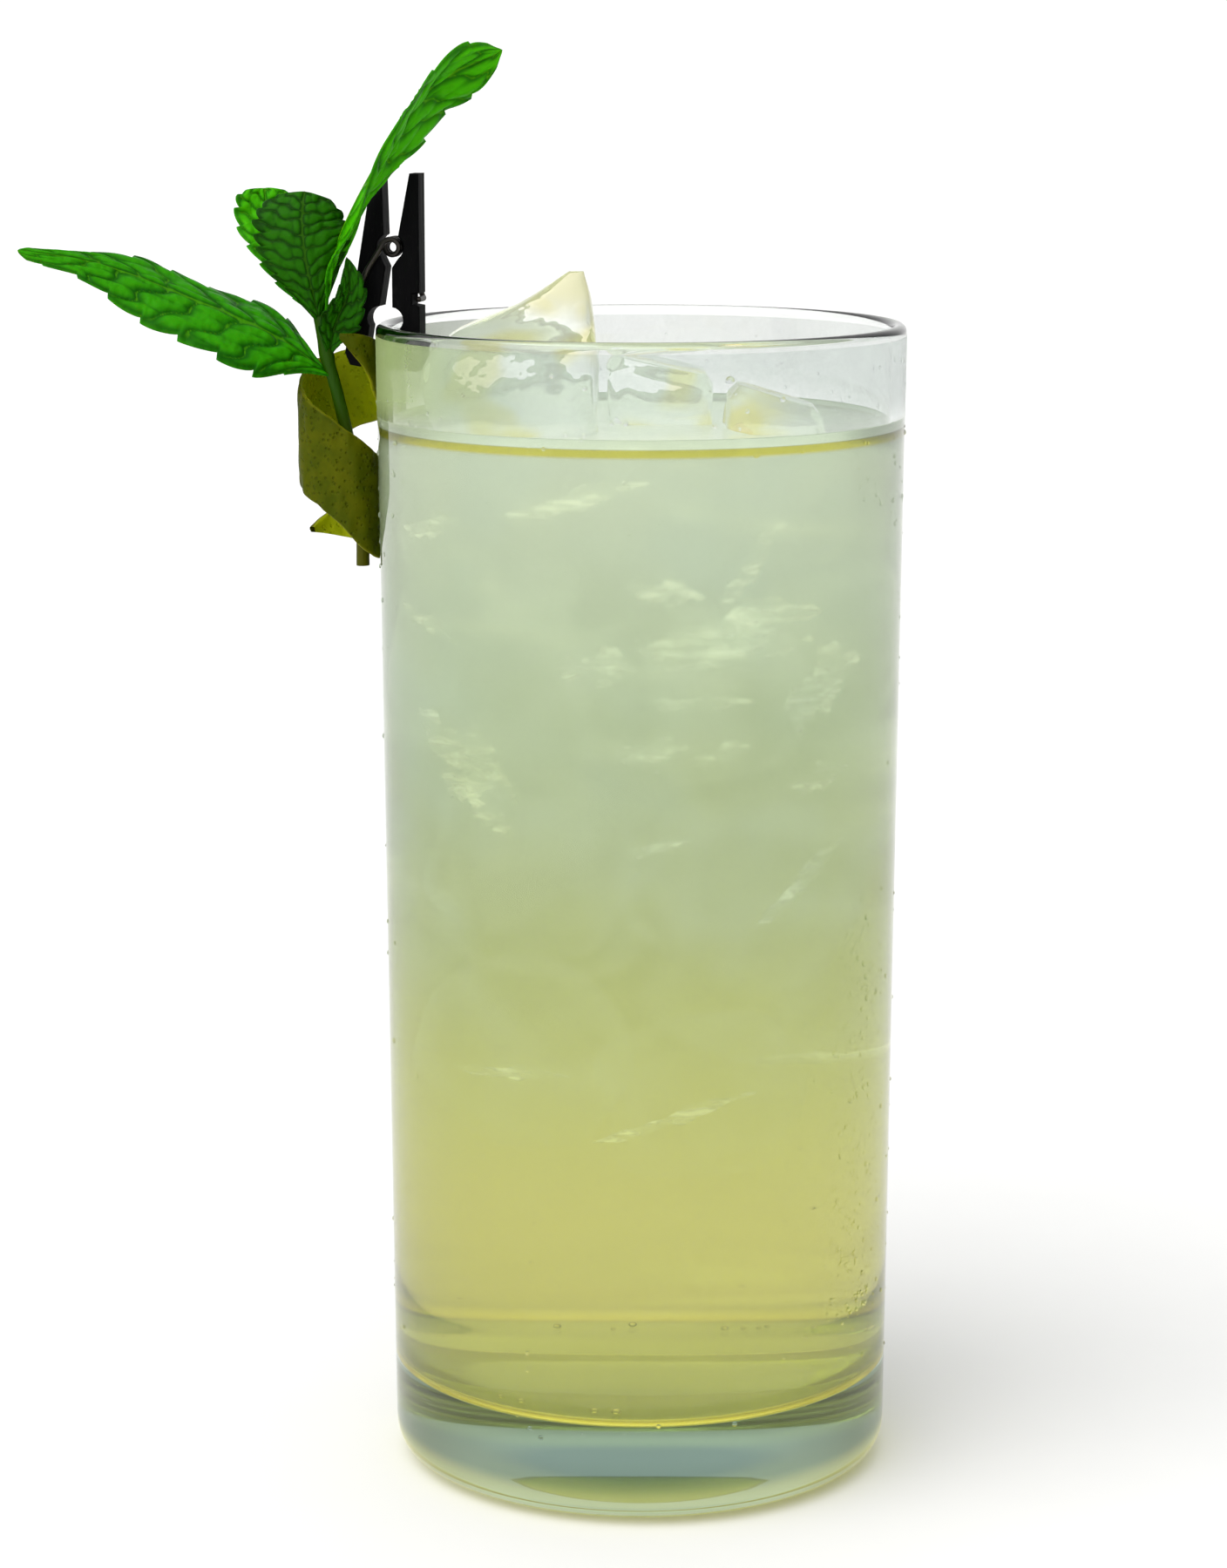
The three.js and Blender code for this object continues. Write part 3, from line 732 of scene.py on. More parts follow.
back_cracks = FRONT_CRACKS[1::2].copy()
back_cracks[:, :2] *= -1
back_cracks[:, 2] += BACK_SHIFT
back_cracks[:, 6] += np.pi
CRACKS = np.concatenate([FRONT_CRACKS, back_cracks])
print(len(CRACKS), "cracks")


# %% Crack surface and finish
def sliver_points(rows=24, columns=10):
    """Bent lens: a flat oval whose breadth fades as 1 - x * x, bowed by x * x."""
    x = np.linspace(-1, 1, rows)[:, None]
    angle = around(columns)[None]
    breadth = (1 - x * x) * (1 + 0.3 * np.sin(7 * x) + 0.2 * np.sin(17 * x))
    y = 0.5 * breadth * np.cos(angle) + 0.25 * np.sin(2.5 * x)
    z = 0.08 * (1 - x * x) * np.sin(angle) + 0.2 * x * x
    return joined(x, y, z)


sliver_size = joined(CRACKS[:, 3] / 2, CRACKS[:, 4], CRACKS[:, 4])
sliver = sliver_points()[None] * sliver_size[:, None, None]
lean = CRACKS[:, 7]
sliver[..., 1] += sliver[..., 0] * lean[:, None, None]
sliver = np.einsum("kij,krcj->krci", turns(np.pi / 2 - CRACKS[:, 5], CRACKS[:, 6]), sliver)
crack_points = sliver + CRACKS[:, None, None, :3]
crack_finish = Finish("ice_cracks")
spot = crack_finish.place()
flaw = crack_finish.noise(crack_finish.scaled(spot, (220.0, 220.0, 1100.0)), 1.0, 5.0, 0.6)
crack_tint_and_glint = crack_finish.blend(flaw, srgb(226, 234, 206), srgb(255, 255, 246))
crack_clear = 0.09 + crack_finish.ramp(flaw, 0.42, 0.68) * 0.55
# the crack colour glows: painted glints of light in the splits
crack_material = crack_finish.surface(
    Base_Color=crack_tint_and_glint, Roughness=0.4, Alpha=crack_clear,
    Emission_Color=crack_tint_and_glint, Emission_Strength=0.55)
cracks = make_piece("ice_cracks", crack_points, crack_material)

# %% [markdown]
# ## The peg
# A small spring peg, stained black, straddles the rim. Its two arms are flat boards with a
# cut profile, which the CAD already holds with bevelled edges, so they keep their meshes
# and only get paint over a fine wood grain.

# %% Peg arms
paint_finish = Finish("black_wood")
spot = paint_finish.place()
along_grain = paint_finish.add("ShaderNodeMapping", None, {0: spot, 3: (900.0, 900.0, 90.0)})
grain = paint_finish.noise(along_grain, 1.0, 4.0, 0.6)
worn = paint_finish.ramp(paint_finish.noise(spot, 900.0, 3.0), 0.62, 0.75)
paint = paint_finish.blend(grain, (0.002, 0.002, 0.0025), (0.006, 0.006, 0.0065))
paint = paint_finish.blend(worn * 0.3, paint, (0.014, 0.013, 0.012))
black_material = paint_finish.surface(
    Base_Color=paint, Roughness=0.42 + grain * 0.2, Specular_IOR_Level=0.02,
    Normal=paint_finish.bump(grain, 0.00012))
for name in ("peg_arm_outer", "peg_arm_inner"):
    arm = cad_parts[name]
    arm.data.materials.clear()
    arm.data.materials.append(black_material)
    print(name, "painted")

# %% [markdown]
# ## The spring
# The spring is one length of wire: a hook in the notch of each arm, a leg from each hook and a
# coil between the arms. A round section is carried along that line. The two halves follow
# different arms when the peg opens, but here the piece is one mesh that hangs on no body.

# %% Spring sizes
PEG_AZIMUTH = math.radians(168)
PEG_PIVOT_RADIUS = 32.3
PEG_PIVOT_HEIGHT = 157.1
PEG_SPREAD = math.radians(9.5)
WIRE_RADIUS = 0.36
COIL_RADIUS = 1.0
COIL_TURNS = 2.5
COIL_HALF_LENGTH = 1.0
NOTCH_HEIGHT = -6.6
HOOK_SEAT = 3.5
LEG_SIDE = 2.3
OUTWARD = np.array([math.cos(PEG_AZIMUTH), math.sin(PEG_AZIMUTH), 0.0])
ALONG_RIM = np.array([-math.sin(PEG_AZIMUTH), math.cos(PEG_AZIMUTH), 0.0])
UP = np.array([0.0, 0.0, 1.0])
PIVOT = PEG_PIVOT_RADIUS * OUTWARD + PEG_PIVOT_HEIGHT * UP
print("pivot", PIVOT.round(2))


# %% Spring shape
def unit(v):
    """Vectors scaled to length one along the last axis."""
    return v / np.linalg.norm(v, axis=-1, keepdims=True)


def eased(points, count, window):
    """A line through points with its corners rounded: even steps along it, each step then
    the mean of its neighbours under a hat-shaped window."""
    points = np.asarray(points, float)
    length = np.concatenate([[0], np.cumsum(np.linalg.norm(np.diff(points, axis=0), axis=1))])
    even = np.linspace(0, length[-1], count)
    line = joined(*[np.interp(even, length, row) for row in points.T])
    hat = np.hanning(2 * window + 3)[1:-1]
    padded = np.concatenate([np.repeat(line[:1], window, 0), line, np.repeat(line[-1:], window, 0)])
    return joined(*[np.convolve(row, hat / hat.sum(), "valid") for row in padded.T])


def tube(path, radius, sides, reference):
    """A round section carried along a path. Its two axes are the reference direction made
    square to the path, and the cross product; a point is added at each end to close it."""
    ahead = unit(np.gradient(path, axis=0))
    first = unit(reference - (ahead @ reference)[:, None] * ahead)
    second = np.cross(ahead, first)
    angle = around(sides)[:, None]
    radius = (np.asarray(radius, float) + np.zeros(len(path)))[:, None, None]
    ring = np.cos(angle) * first[:, None] + np.sin(angle) * second[:, None]
    body = path[:, None] + radius * ring
    start = np.repeat(path[:1, None], sides, 1)
    end = np.repeat(path[-1:, None], sides, 1)
    return np.concatenate([start, body, end])


def spring_leg(arm, end):
    """Corner points of one leg, from its hook in the arm's notch up to the coil."""
    rows = np.array([
        [HOOK_SEAT, -0.9, NOTCH_HEIGHT], [HOOK_SEAT, LEG_SIDE - 0.4, NOTCH_HEIGHT],
        [HOOK_SEAT - 0.3, LEG_SIDE, NOTCH_HEIGHT + 0.3], [2.3, LEG_SIDE, -3.2]])
    tilt = PEG_SPREAD if arm > 0 else 0.0
    out, rim, up = arm * rows[:, 0], end * rows[:, 1], rows[:, 2]
    turned_out = out * math.cos(tilt) - up * math.sin(tilt)
    turned_up = out * math.sin(tilt) + up * math.cos(tilt)
    return joined(turned_out, rim, turned_up)


def spring_path():
    """Inner leg, coil round the pivot, outer leg, in the peg's own axes."""
    f = np.linspace(0, 1, 160)
    angle = 2 * np.pi * COIL_TURNS * f
    spread = [[0, -LEG_SIDE], [0.14, -COIL_HALF_LENGTH], [0.86, COIL_HALF_LENGTH], [1, LEG_SIDE]]
    coil = joined(-COIL_RADIUS * np.cos(angle), through(spread, f), COIL_RADIUS * np.sin(angle))
    return np.concatenate([spring_leg(-1, -1), coil, spring_leg(1, 1)[::-1]])


# %% Spring wire
wire_finish = Finish("dark_wire")
spot = wire_finish.place()
patina = wire_finish.noise(spot, 700.0, 4.0)
wire_tint = wire_finish.blend(patina, (0.02, 0.018, 0.016), (0.07, 0.062, 0.055))
wire_material = wire_finish.surface(Base_Color=wire_tint, Metallic=0.9, Roughness=0.25 + patina * 0.25)
path = eased(spring_path(), 520, 5)
path = PIVOT + path[:, :1] * OUTWARD + path[:, 1:2] * ALONG_RIM + path[:, 2:] * UP
wire_points = tube(path, WIRE_RADIUS, 12, unit(0.5 * OUTWARD + 0.7 * ALONG_RIM + 0.5 * UP))
spring = make_piece("peg_spring_wire", wire_points, wire_material, body=None)
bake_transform(spring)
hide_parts("peg_spring")

# %% [markdown]
# ## The twist of lime peel
# A strip of zest is wound round the mint's stem, with its upper end pinched in the peg and
# its tail cut to a point. The strip's section is a flat oval carried round a coil whose
# plan is a rounded square; height and width follow the same rows as the CAD. Zest is dark
# and pitted outside, and paler inside, so each point remembers which side it is on.

# %% Lime peel shape
PEEL_AXIS_RADIUS = 39.35
PEEL_RADIUS = 5.0
PEEL_THICKNESS = 0.9
PEEL_SQUARENESS = 2.6
PEEL_START = -76.0
PEEL_END = 512.0
PEEL_BAND = [
    [PEEL_START, 146.0, 0.35], [-45, 144.2, 2.0], [0, 140.6, 4.3], [90, 138.4, 5.2],
    [180, 134.4, 6.6], [270, 129.2, 6.3], [330, 124.6, 7.0], [400, 122.6, 4.8],
    [450, 121.8, 3.0], [PEEL_END, 120.2, 0.35],
]


def peel_points(rows=300, columns=56):
    """Section: across = |cos|^0.35 and depth = |sin|^0.6 of a turning angle, which is a flat
    strip with rounded edges. It is carried round the coil's plan at the band's height."""
    degrees = np.linspace(PEEL_START, PEEL_END, rows)[:, None]
    section = around(columns)[None]
    across = soft(np.cos(section), 0.35)
    depth = soft(np.sin(section), 0.6)
    angle = np.radians(degrees)
    square = np.abs(np.cos(angle)) ** PEEL_SQUARENESS + np.abs(np.sin(angle)) ** PEEL_SQUARENESS
    plan = PEEL_RADIUS * square ** (-1 / PEEL_SQUARENESS)
    loose = 0.3 * np.clip((degrees - 360) / (PEEL_END - 360), 0, 1)
    uneven = 1 + 0.02 * np.sin(degrees * 0.11) * np.sin(degrees * 0.043)
    half = through(PEEL_BAND, degrees, 2) * uneven
    lump = 0.06 * np.sin(degrees * 0.21 + across * 3) + 0.05 * np.sin(degrees * 0.37 - across * 7)
    radius = plan + loose + depth * PEEL_THICKNESS / 2 + lump
    height = through(PEEL_BAND, degrees, 1) + across * half
    axis = PEEL_AXIS_RADIUS * OUTWARD
    out, rim = -radius * np.cos(angle), -radius * np.sin(angle)
    points = axis + out[..., None] * OUTWARD + rim[..., None] * ALONG_RIM + height[..., None] * UP
    return points, depth + 0 * degrees, across + 0 * degrees


peel_grid, peel_side, peel_across = peel_points()
print("peel surface", peel_grid.shape)

# %% Lime zest
peel_finish = Finish("lime_zest")
spot = peel_finish.place()
outside = peel_finish.ramp(peel_finish.mark("zest"), -0.3, 0.3)
edge = peel_finish.mark("across")
mottle = peel_finish.noise(spot, 260.0, 3.0)
pits = peel_finish.add("ShaderNodeTexVoronoi", {"feature": "F1"}, {"Vector": spot, "Scale": 1500.0})
pit_depth = peel_finish.ramp(pits, 0.05, 0.4)
zest = peel_finish.blend(peel_finish.ramp(mottle, 0.35, 0.7), srgb(62, 72, 0), srgb(80, 85, 0))
zest = peel_finish.blend((1 - pit_depth) * 0.4, zest, srgb(48, 58, 0))
pith = peel_finish.blend(mottle, srgb(126, 142, 0), srgb(160, 166, 8))
peel_colour = peel_finish.blend(outside, pith, zest)
cut_edge = peel_finish.ramp(abs(edge), 0.95, 1.0) * 0.5
peel_colour = peel_finish.blend(cut_edge, peel_colour, srgb(120, 122, 16))
peel_material = peel_finish.surface(
    Base_Color=peel_colour, Roughness=0.42 + mottle * 0.15, Specular_IOR_Level=0.05,
    Subsurface_Weight=0.08, Subsurface_Scale=0.001, Normal=peel_finish.bump(pit_depth, 0.00015))
peel = make_piece("lime_peel_twist", peel_grid, peel_material,
                  marks={"zest": peel_side, "across": peel_across})
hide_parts("lime_peel")

# %% [markdown]
# ## Mint
# A sprig has a squarish stem and leaves in pairs, with toothed edges and a quilted blade:
# side veins run from the midrib towards each tooth, and the blade swells between them. Each
# leaf is one closed surface, because the section's angle goes over the top and back below.
# The swelling is real relief, and it is also kept as a point value that paints shade beside
# the veins and light on the crowns, and tints the veins.

# %% Leaf shapes
LEAF_THICKNESS = 0.5
VEIN_LEAN = 1.3
VEIN_STAGGER = 0.3
LANCE = [[0, 0.1], [0.12, 0.36], [0.3, 0.9], [0.45, 1], [0.7, 0.72], [0.9, 0.3], [1, 0.05]]
SPOON = [[0, 0.1], [0.15, 0.4], [0.4, 0.86], [0.65, 1], [0.88, 0.84], [1, 0.45]]
LEAVES = {
    "left": dict(
        rib=[[-39.9, 5.8, 141.0], [-47, 4.4, 146.2], [-58, 3.2, 151.2], [-68.5, 2.0, 155.2],
             [-78.5, 0, 157.0]],
        facing=(0.25, -0.56, 0.78), width=14.5, fold=-0.2, wave=0.5, teeth=9, curl=0.05,
        shape=[[0, 0.1], [0.1, 0.34], [0.25, 0.92], [0.38, 1], [0.62, 0.72], [0.85, 0.3], [1, 0.05]],
        twist=[[0, 0], [0.5, 0.05], [1, -0.15]]),
    "front": dict(
        rib=[[-41.1, 5.2, 148.2], [-42.2, 2.4, 154.4], [-42.8, 2.0, 160.0], [-42.6, 4.0, 164.2]],
        facing=(0.1, -0.97, 0.1), width=11.9, fold=-0.12, wave=0.3, teeth=10, curl=0.12,
        shape=SPOON, twist=[[0, 0], [1, 0]]),
    "behind": dict(
        rib=[[-41.3, 6.4, 148.4], [-44.6, 9.2, 154], [-47.6, 12, 160], [-48.6, 14, 164.2]],
        facing=(0.3, -0.8, 0.5), width=9.5, fold=0.2, wave=0.3, teeth=8, curl=0,
        shape=SPOON, twist=[[0, 0], [1, 0]]),
    "tall": dict(
        rib=[[-40.9, 6.2, 147.8], [-38.9, 4.0, 155.6], [-35.7, 0.8, 162.6], [-31.3, -0.2, 170.0],
             [-25.9, 0.6, 177.4], [-17.4, 2.4, 181.8]],
        facing=(0.75, -0.55, -0.35), width=11, fold=0.25, wave=0.6, teeth=9, curl=0,
        shape=[[0, 0.1], [0.15, 0.3], [0.3, 0.55], [0.45, 0.78], [0.58, 0.9], [0.76, 1.06],
               [0.9, 0.86], [1, 0.06]],
        twist=[[0, 0.6], [0.35, 0.45], [0.59, 0.37], [0.72, 0.26], [0.85, 0.08], [1, -0.1]]),
    "small": dict(
        rib=[[-40.0, 5.6, 143.2], [-39.0, 4.6, 147.4], [-37.2, 3.4, 151.6], [-37.3, 3.0, 156]],
        facing=(0.35, -0.9, 0.1), width=6.2, fold=0.5, wave=0.2, teeth=7, curl=0,
        shape=LANCE, twist=[[0, 0], [1, 0.3]]),
}
print(len(LEAVES), "leaves")


# %% Leaf surface
def spline(points, u):
    """Smooth curve through points (Catmull-Rom), u from 0 at the first to 1 at the last."""
    points = np.asarray(points, float)
    ends = [2 * points[:1] - points[1:2], points, 2 * points[-1:] - points[-2:-1]]
    points = np.concatenate(ends)
    spans = len(points) - 3
    place = np.clip(u, 0, 1) * spans
    i = np.minimum(place.astype(int), spans - 1)
    t = (place - i)[..., None]
    a, b, c, d = points[i], points[i + 1], points[i + 2], points[i + 3]
    bends = (2 * a - 5 * b + 4 * c - d) * t + (3 * b - a - 3 * c + d) * t * t
    return 0.5 * (2 * b + (c - a) * t + bends * t)


def scatter(number):
    """A repeatable fraction from 0 to 1 for each whole number: a scrambled sine."""
    return (np.sin(number * 12.9898 + 4.1) * 43758.5453) % 1.0


def leaf_points(leaf, rows=220, columns=128):
    """Point = midrib(u) + across * side * half width + up * lift, u along the leaf and side
    from -1 to 1. Lift = fold, curl and ruffle of the edge, and the swelling between veins.
    The side veins are strips in u that lean towards the tip; each strip is cut into cells.
    The swelling's height, evened out at the rim, is kept for the painted shade."""
    u = np.linspace(0, 1, rows)[:, None]
    section = around(columns)[None]
    side = np.cos(section)
    reach = np.abs(side)
    over = soft(np.sin(section), 0.45)
    rib = spline(leaf["rib"], u[:, 0])
    length = np.linalg.norm(np.diff(rib, axis=0), axis=1).sum()
    ahead = unit(np.gradient(rib, axis=0))
    look = np.array(leaf["facing"])
    up = unit(look - (ahead @ look)[:, None] * ahead)
    angle = through(leaf["twist"], u)
    up = up * np.cos(angle) + np.cross(ahead, up) * np.sin(angle)
    across = np.cross(up, ahead)
    half_of = np.where(side < 0, 37.0, 0.0)
    wander = 0.12 * np.sin(9 * side + 23 * u) + 0.08 * np.sin(17 * u - 13 * side)
    stagger = VEIN_STAGGER * (side < 0)
    vein = leaf["teeth"] * u - VEIN_LEAN * reach ** 1.3 + stagger + wander
    strip = np.floor(vein) + half_of
    between = np.sin(np.pi * (vein % 1.0)) ** 0.6
    crossing = (2.6 + scatter(strip + 5)) * reach ** 0.8 + scatter(strip) + 0.1 * np.sin(31 * u)
    cell = np.sin(np.pi * (crossing % 1.0)) ** 0.5
    groove = 1 - np.exp(-(reach / 0.06) ** 2)
    quilt = between * (0.45 + 0.55 * cell) * groove * (1 - reach ** 8)
    notch = leaf["teeth"] * u - VEIN_LEAN + stagger
    bite = 0.6 + 0.8 * scatter(np.floor(notch) + half_of + 11)
    step = notch % 1.0
    tooth = (0.85 * step + 0.3 * np.sin(np.pi * step) ** 0.6 - 0.6) * bite * np.minimum(1, 4 * u)
    point = np.sqrt(np.clip((1 - u) / 0.03, 0, 1))
    half = leaf["width"] / 2 * through(leaf["shape"], u) * point * (1 + 0.2 * tooth * reach ** 4)
    ruffle = leaf["wave"] * side ** 2 * np.sin(u * leaf["teeth"] * 1.7 + side * 2)
    lift = reach * half * math.sin(leaf["fold"]) - leaf["curl"] * side ** 2 * half + ruffle * point
    swell = min(0.6, 0.17 * length / leaf["teeth"])
    lift = lift + swell * (quilt - 0.5) * np.minimum(1, half / 3) + over * LEAF_THICKNESS * 0.4 * point
    points = rib[:, None] + across[:, None] * (side * half * math.cos(leaf["fold"]))[..., None]
    points = points + up[:, None] * lift[..., None]
    swell_shade = np.maximum(quilt, 0.5 * reach ** 8)
    return points, swell_shade + 0 * over


# %% [markdown]
# ## Leaf green
# A leaf is painted darker beside its veins and lighter where it swells between them: painted shade
# and painted light for its quilted relief. The leaves of the sprig differ, as some stand in the light
# and some in the shade of others, so one function makes three finishes. The swelling's height comes
# from the mesh, so the painted shade and the relief agree.

# %% Mint finishes
def mint_finish(name, crown_lit_green, groove_shaded_green, vein):
    """Leaf green by the swelling's height, with painted shade beside the veins, painted light on the
    crowns, random tone, thin pale veins, a soft gloss and a little light through the blade."""
    finish = Finish(name)
    spot = finish.place()
    quilt = finish.mark("quilt")
    patch = finish.noise(spot, 220.0, 3.0)
    cells = finish.add("ShaderNodeTexVoronoi", {"feature": "SMOOTH_F1"},
                       {"Vector": spot, "Scale": 900.0, "Smoothness": 0.6})
    # painted shade beside the veins and painted light on the crowns, with random tone from the patches
    relief_shade_and_tone = finish.ramp(quilt + (patch - 0.5) * 0.7, 0.15, 0.85)
    colour = finish.blend(relief_shade_and_tone, groove_shaded_green, crown_lit_green)
    colour = finish.blend((1 - finish.ramp(quilt, 0.06, 0.26)) * 0.5, colour, vein)
    return finish.surface(
        Base_Color=colour, Roughness=0.4 + patch * 0.2, Subsurface_Weight=0.1,
        Subsurface_Scale=0.001, Specular_IOR_Level=0.06, Normal=finish.bump(cells, 0.00035, 0.8))


sunny = mint_finish("mint_sunny", srgb(46, 140, 0), srgb(16, 84, 0), srgb(84, 166, 6))
shady = mint_finish("mint_shady", srgb(32, 96, 0), srgb(12, 54, 0), srgb(52, 104, 2))
lit = mint_finish("mint_lit", srgb(66, 172, 0), srgb(28, 108, 0), srgb(102, 184, 8))
LEAF_FINISH = {"left": sunny, "tall": lit, "behind": lit, "front": shady, "small": shady}
for name, leaf in LEAVES.items():
    points, swell_shade = leaf_points(leaf)
    blade = make_piece("mint_leaf_" + name, points, LEAF_FINISH[name], marks={"quilt": swell_shade})
    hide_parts("mint_sprig")

# %% [markdown]
# ## Stem
# The stem is a bent rod, woody and brown at the cut end and green above, with a knot where the
# leaves leave it. The spring's tube function makes it, with a radius that changes along it.

# %% Mint stem
STEM = [[-35.9, 6.6, 116.2], [-36.0, 6.5, 121], [-37.1, 6.3, 130], [-38.9, 5.9, 138.5],
        [-40.2, 5.7, 143.5], [-41.2, 5.7, 149]]
STEM_RADIUS = 0.86

stem_finish = Finish("mint_stem")
spot = stem_finish.place()
along_stem = stem_finish.add("ShaderNodeMapping", None, {0: spot, 3: (1500.0, 1500.0, 120.0)})
strand = stem_finish.noise(along_stem, 1.0)
aged = stem_finish.ramp(stem_finish.axis(spot, "Z"), 0.122, 0.140)
stem_colour = stem_finish.blend(aged, srgb(80, 78, 0), srgb(36, 74, 0))
stem_colour = stem_finish.blend(strand * 0.5, stem_colour, srgb(30, 54, 4))
stem_material = stem_finish.surface(
    Base_Color=stem_colour, Roughness=0.45, Specular_IOR_Level=0.1,
    Normal=stem_finish.bump(strand, 0.0001))
u = np.linspace(0, 1, 90)
knots = STEM_RADIUS * (1 + 0.22 * np.exp(-((u - 0.8) / 0.05) ** 2) - 0.12 * u)
stem_points = tube(spline(STEM, u), knots, 20, np.array([1.0, 0.0, 0.0]))
stem = make_piece("mint_stem", stem_points, stem_material)
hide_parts("mint_sprig")

# %% [markdown]
# ## Condensation
# A cold glass mists over. Above the drink the mist is an even grey film, thickest at the
# left, so a thin skin lies on the wall there and fades out below. Roughening
# the glass itself would mist it too, but would also blur the ice behind it.

# %% Mist on the wall
MIST_LOW = 133.0
MIST_HIGH = 146.6
MIST_SKIN = (0.02, 0.05)
MIST_SIDES = 128

z = np.linspace(MIST_LOW, MIST_HIGH, 20)
outward_side = joined(outer_radius(z) + MIST_SKIN[1], z)
wall_side = joined(outer_radius(z) + MIST_SKIN[0], z)[::-1]
mist_profile = np.concatenate([outward_side, wall_side])
mist_finish = Finish("mist")
spot = mist_finish.place()
patchy = mist_finish.noise(spot, 130.0, 4.0, 0.6)
grain = mist_finish.noise(spot, 2200.0, 2.0)
mist_tint_and_peel_image = mist_finish.blend(patchy, (0.32, 0.43, 0.38), (0.40, 0.52, 0.46))
over_drink = mist_finish.ramp(mist_finish.axis(spot, "Z"), 0.1345, 0.140)
to_left = mist_finish.ramp(-1.0 * mist_finish.axis(spot, "X"), 0.008, 0.033)
# painted image: at the left the mist turns the yellow-green of the peel and mint seen through the wall
mist_tint_and_peel_image = mist_finish.blend(to_left, mist_tint_and_peel_image, (0.40, 0.50, 0.20))
mist_depth = over_drink * (0.06 + patchy * 0.08 + grain * 0.06 + to_left * 0.34)
mist_material = mist_finish.surface(Base_Color=mist_tint_and_peel_image, Roughness=0.5, Alpha=mist_depth)
mist_faces = quads(len(mist_profile), MIST_SIDES, wrap_rows=True, wrap_columns=True)
mist = make_piece("mist_film", turned(mist_profile, MIST_SIDES), mist_material, faces=mist_faces)

# %% [markdown]
# ## Beads
# Elsewhere the water has gathered into fine beads, mostly near the level and on the lower right.
# Each bead is a low dome on the wall. A seeded scatter places them, and three larger ones are
# listed.

# %% Bead shape
def dome_points(rows=5, columns=8):
    """Low dome on the XY plane: rings that shrink by the cosine while rising by the sine."""
    lat = np.linspace(0, np.pi / 2, rows)[:, None]
    lon = around(columns)[None]
    return joined(np.cos(lat) * np.cos(lon), np.cos(lat) * np.sin(lon), 0.6 * np.sin(lat))


def on_wall(points, azimuth, height, size, radius):
    """Sets flat domes on the wall: their Z points outwards and their Y upwards."""
    out = joined(np.cos(azimuth), np.sin(azimuth), 0)[:, None, None]
    rim = joined(-np.sin(azimuth), np.cos(azimuth), 0)[:, None, None]
    size = size[:, None, None, None]
    base = out * radius[:, None, None, None] + UP * height[:, None, None, None]
    return base + size * (points[..., :1] * rim + points[..., 1:2] * UP + points[..., 2:] * out)


# %% Beads of water
BEADS = 1500
BEAD_LOW = 10.0
BEAD_HIGH = 144.0
BEAD_SMALLEST = 0.13
BEAD_GROWTH = 0.26
BEAD_SINK = 0.02
LOWER_RIGHT = -37.0
LOWER_SPREAD = 0.13
LOWER_HEIGHTS = (22, 75)
LOWER_SHARE = 0.3
NEAR_LEVEL = 131
NEAR_SPREAD = 6
NEAR_SHARE = 0.35
LARGE_BEADS = np.array([
    # azimuth in degrees, height, size
    [-72.0, 143.4, 0.62],
    [-66.0, 134.5, 0.45],
    [-60.0, 141.0, 0.40],
])

rng = np.random.default_rng(11)
azimuth = rng.uniform(0, 2 * np.pi, BEADS)
height = BEAD_LOW + (BEAD_HIGH - BEAD_LOW) * rng.random(BEADS)
size = BEAD_SMALLEST + BEAD_GROWTH * rng.random(BEADS) ** 3
kind = rng.random(BEADS)
lower_right = kind < LOWER_SHARE
near_level = kind > 1 - NEAR_SHARE
patch_azimuth = np.radians(LOWER_RIGHT) + LOWER_SPREAD * rng.standard_normal(BEADS)
azimuth = np.where(lower_right, patch_azimuth, azimuth)
height = np.where(lower_right, rng.uniform(*LOWER_HEIGHTS, BEADS), height)
height = np.where(near_level, NEAR_LEVEL + NEAR_SPREAD * rng.standard_normal(BEADS), height)
height = np.clip(height, BEAD_LOW, BEAD_HIGH)
large = slice(len(LARGE_BEADS))
azimuth[large] = np.radians(LARGE_BEADS[:, 0])
height[large] = LARGE_BEADS[:, 1]
size[large] = LARGE_BEADS[:, 2]
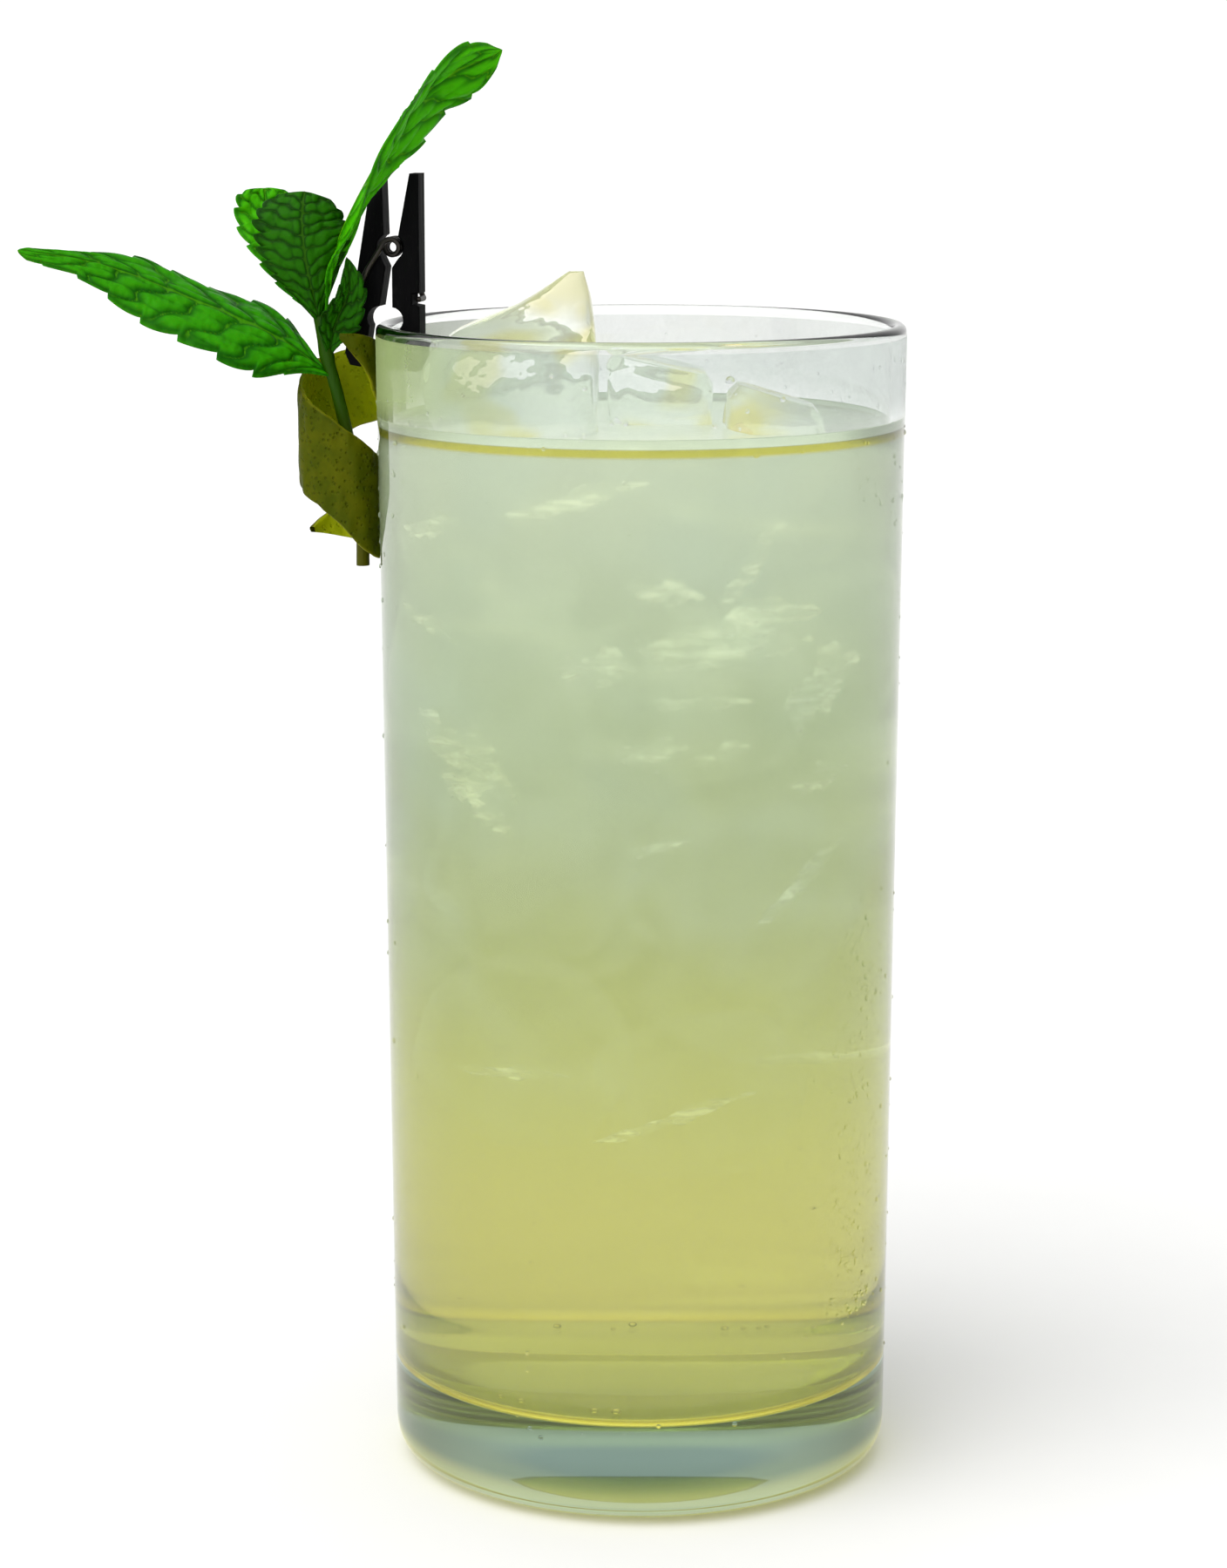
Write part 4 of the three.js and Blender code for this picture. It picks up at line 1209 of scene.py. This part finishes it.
bead_points = on_wall(dome_points(), azimuth, height, size, outer_radius(height) - BEAD_SINK)

bead_finish = Finish("water_beads")
bead_blur = bead_finish.noise(bead_finish.place(), 500.0) * 0.06
bead_material = bead_finish.surface(
    Base_Color=(1.0, 1.0, 1.0, 1.0), Roughness=bead_blur, IOR=1.33, Transmission_Weight=1.0)
beads = make_piece("water_beads", bead_points, bead_material)

# %% [markdown]
# ## Bubbles
# A few bubbles of gas cling to the front of the floor and to its far edge. They are balls of
# air in the drink, so their index is below one.

# %% Bubbles on the floor
FRONT_BUBBLES = np.array([
    # azimuth in degrees, size
    [-132, 0.42],
    [-125, 0.5],
    [-121, 0.28],
    [-103, 0.52],
    [-97, 0.55],
    [-96, 0.24],
])
FRONT_REACH = 24.5
FAR_BUBBLES = 16
FAR_MARGIN = 0.3
FAR_SIZES = (0.16, 0.34)
FAR_REACH = 23.0
FAR_BAND = 3.0
BUBBLE_LIFT = 1.25

far_angle = rng.uniform(FAR_MARGIN, np.pi - FAR_MARGIN, FAR_BUBBLES)
bubble_angle = np.concatenate([np.radians(FRONT_BUBBLES[:, 0]), far_angle])
far_size = rng.uniform(*FAR_SIZES, FAR_BUBBLES)
bubble_size = np.concatenate([FRONT_BUBBLES[:, 1], far_size])
far_reach = FAR_REACH + FAR_BAND * rng.random(len(bubble_angle))
bubble_reach = np.where(bubble_angle < 0, FRONT_REACH, far_reach)
bubble_place = joined(bubble_reach * np.cos(bubble_angle), bubble_reach * np.sin(bubble_angle),
                      FLOOR_HEIGHT + BUBBLE_LIFT * bubble_size)
ball = cube_points(rows=10, columns=16, power=1.0)
bubble_points = bubble_size[:, None, None, None] * ball + bubble_place[:, None, None]
bubble_finish = Finish("gas_bubbles")
bubble_blur = bubble_finish.noise(bubble_finish.place(), 600.0) * 0.04
bubble_material = bubble_finish.surface(
    Base_Color=(1.0, 1.0, 0.96, 1.0), Roughness=bubble_blur, IOR=0.76, Transmission_Weight=1.0)
bubbles = make_piece("gas_bubbles", bubble_points, bubble_material)
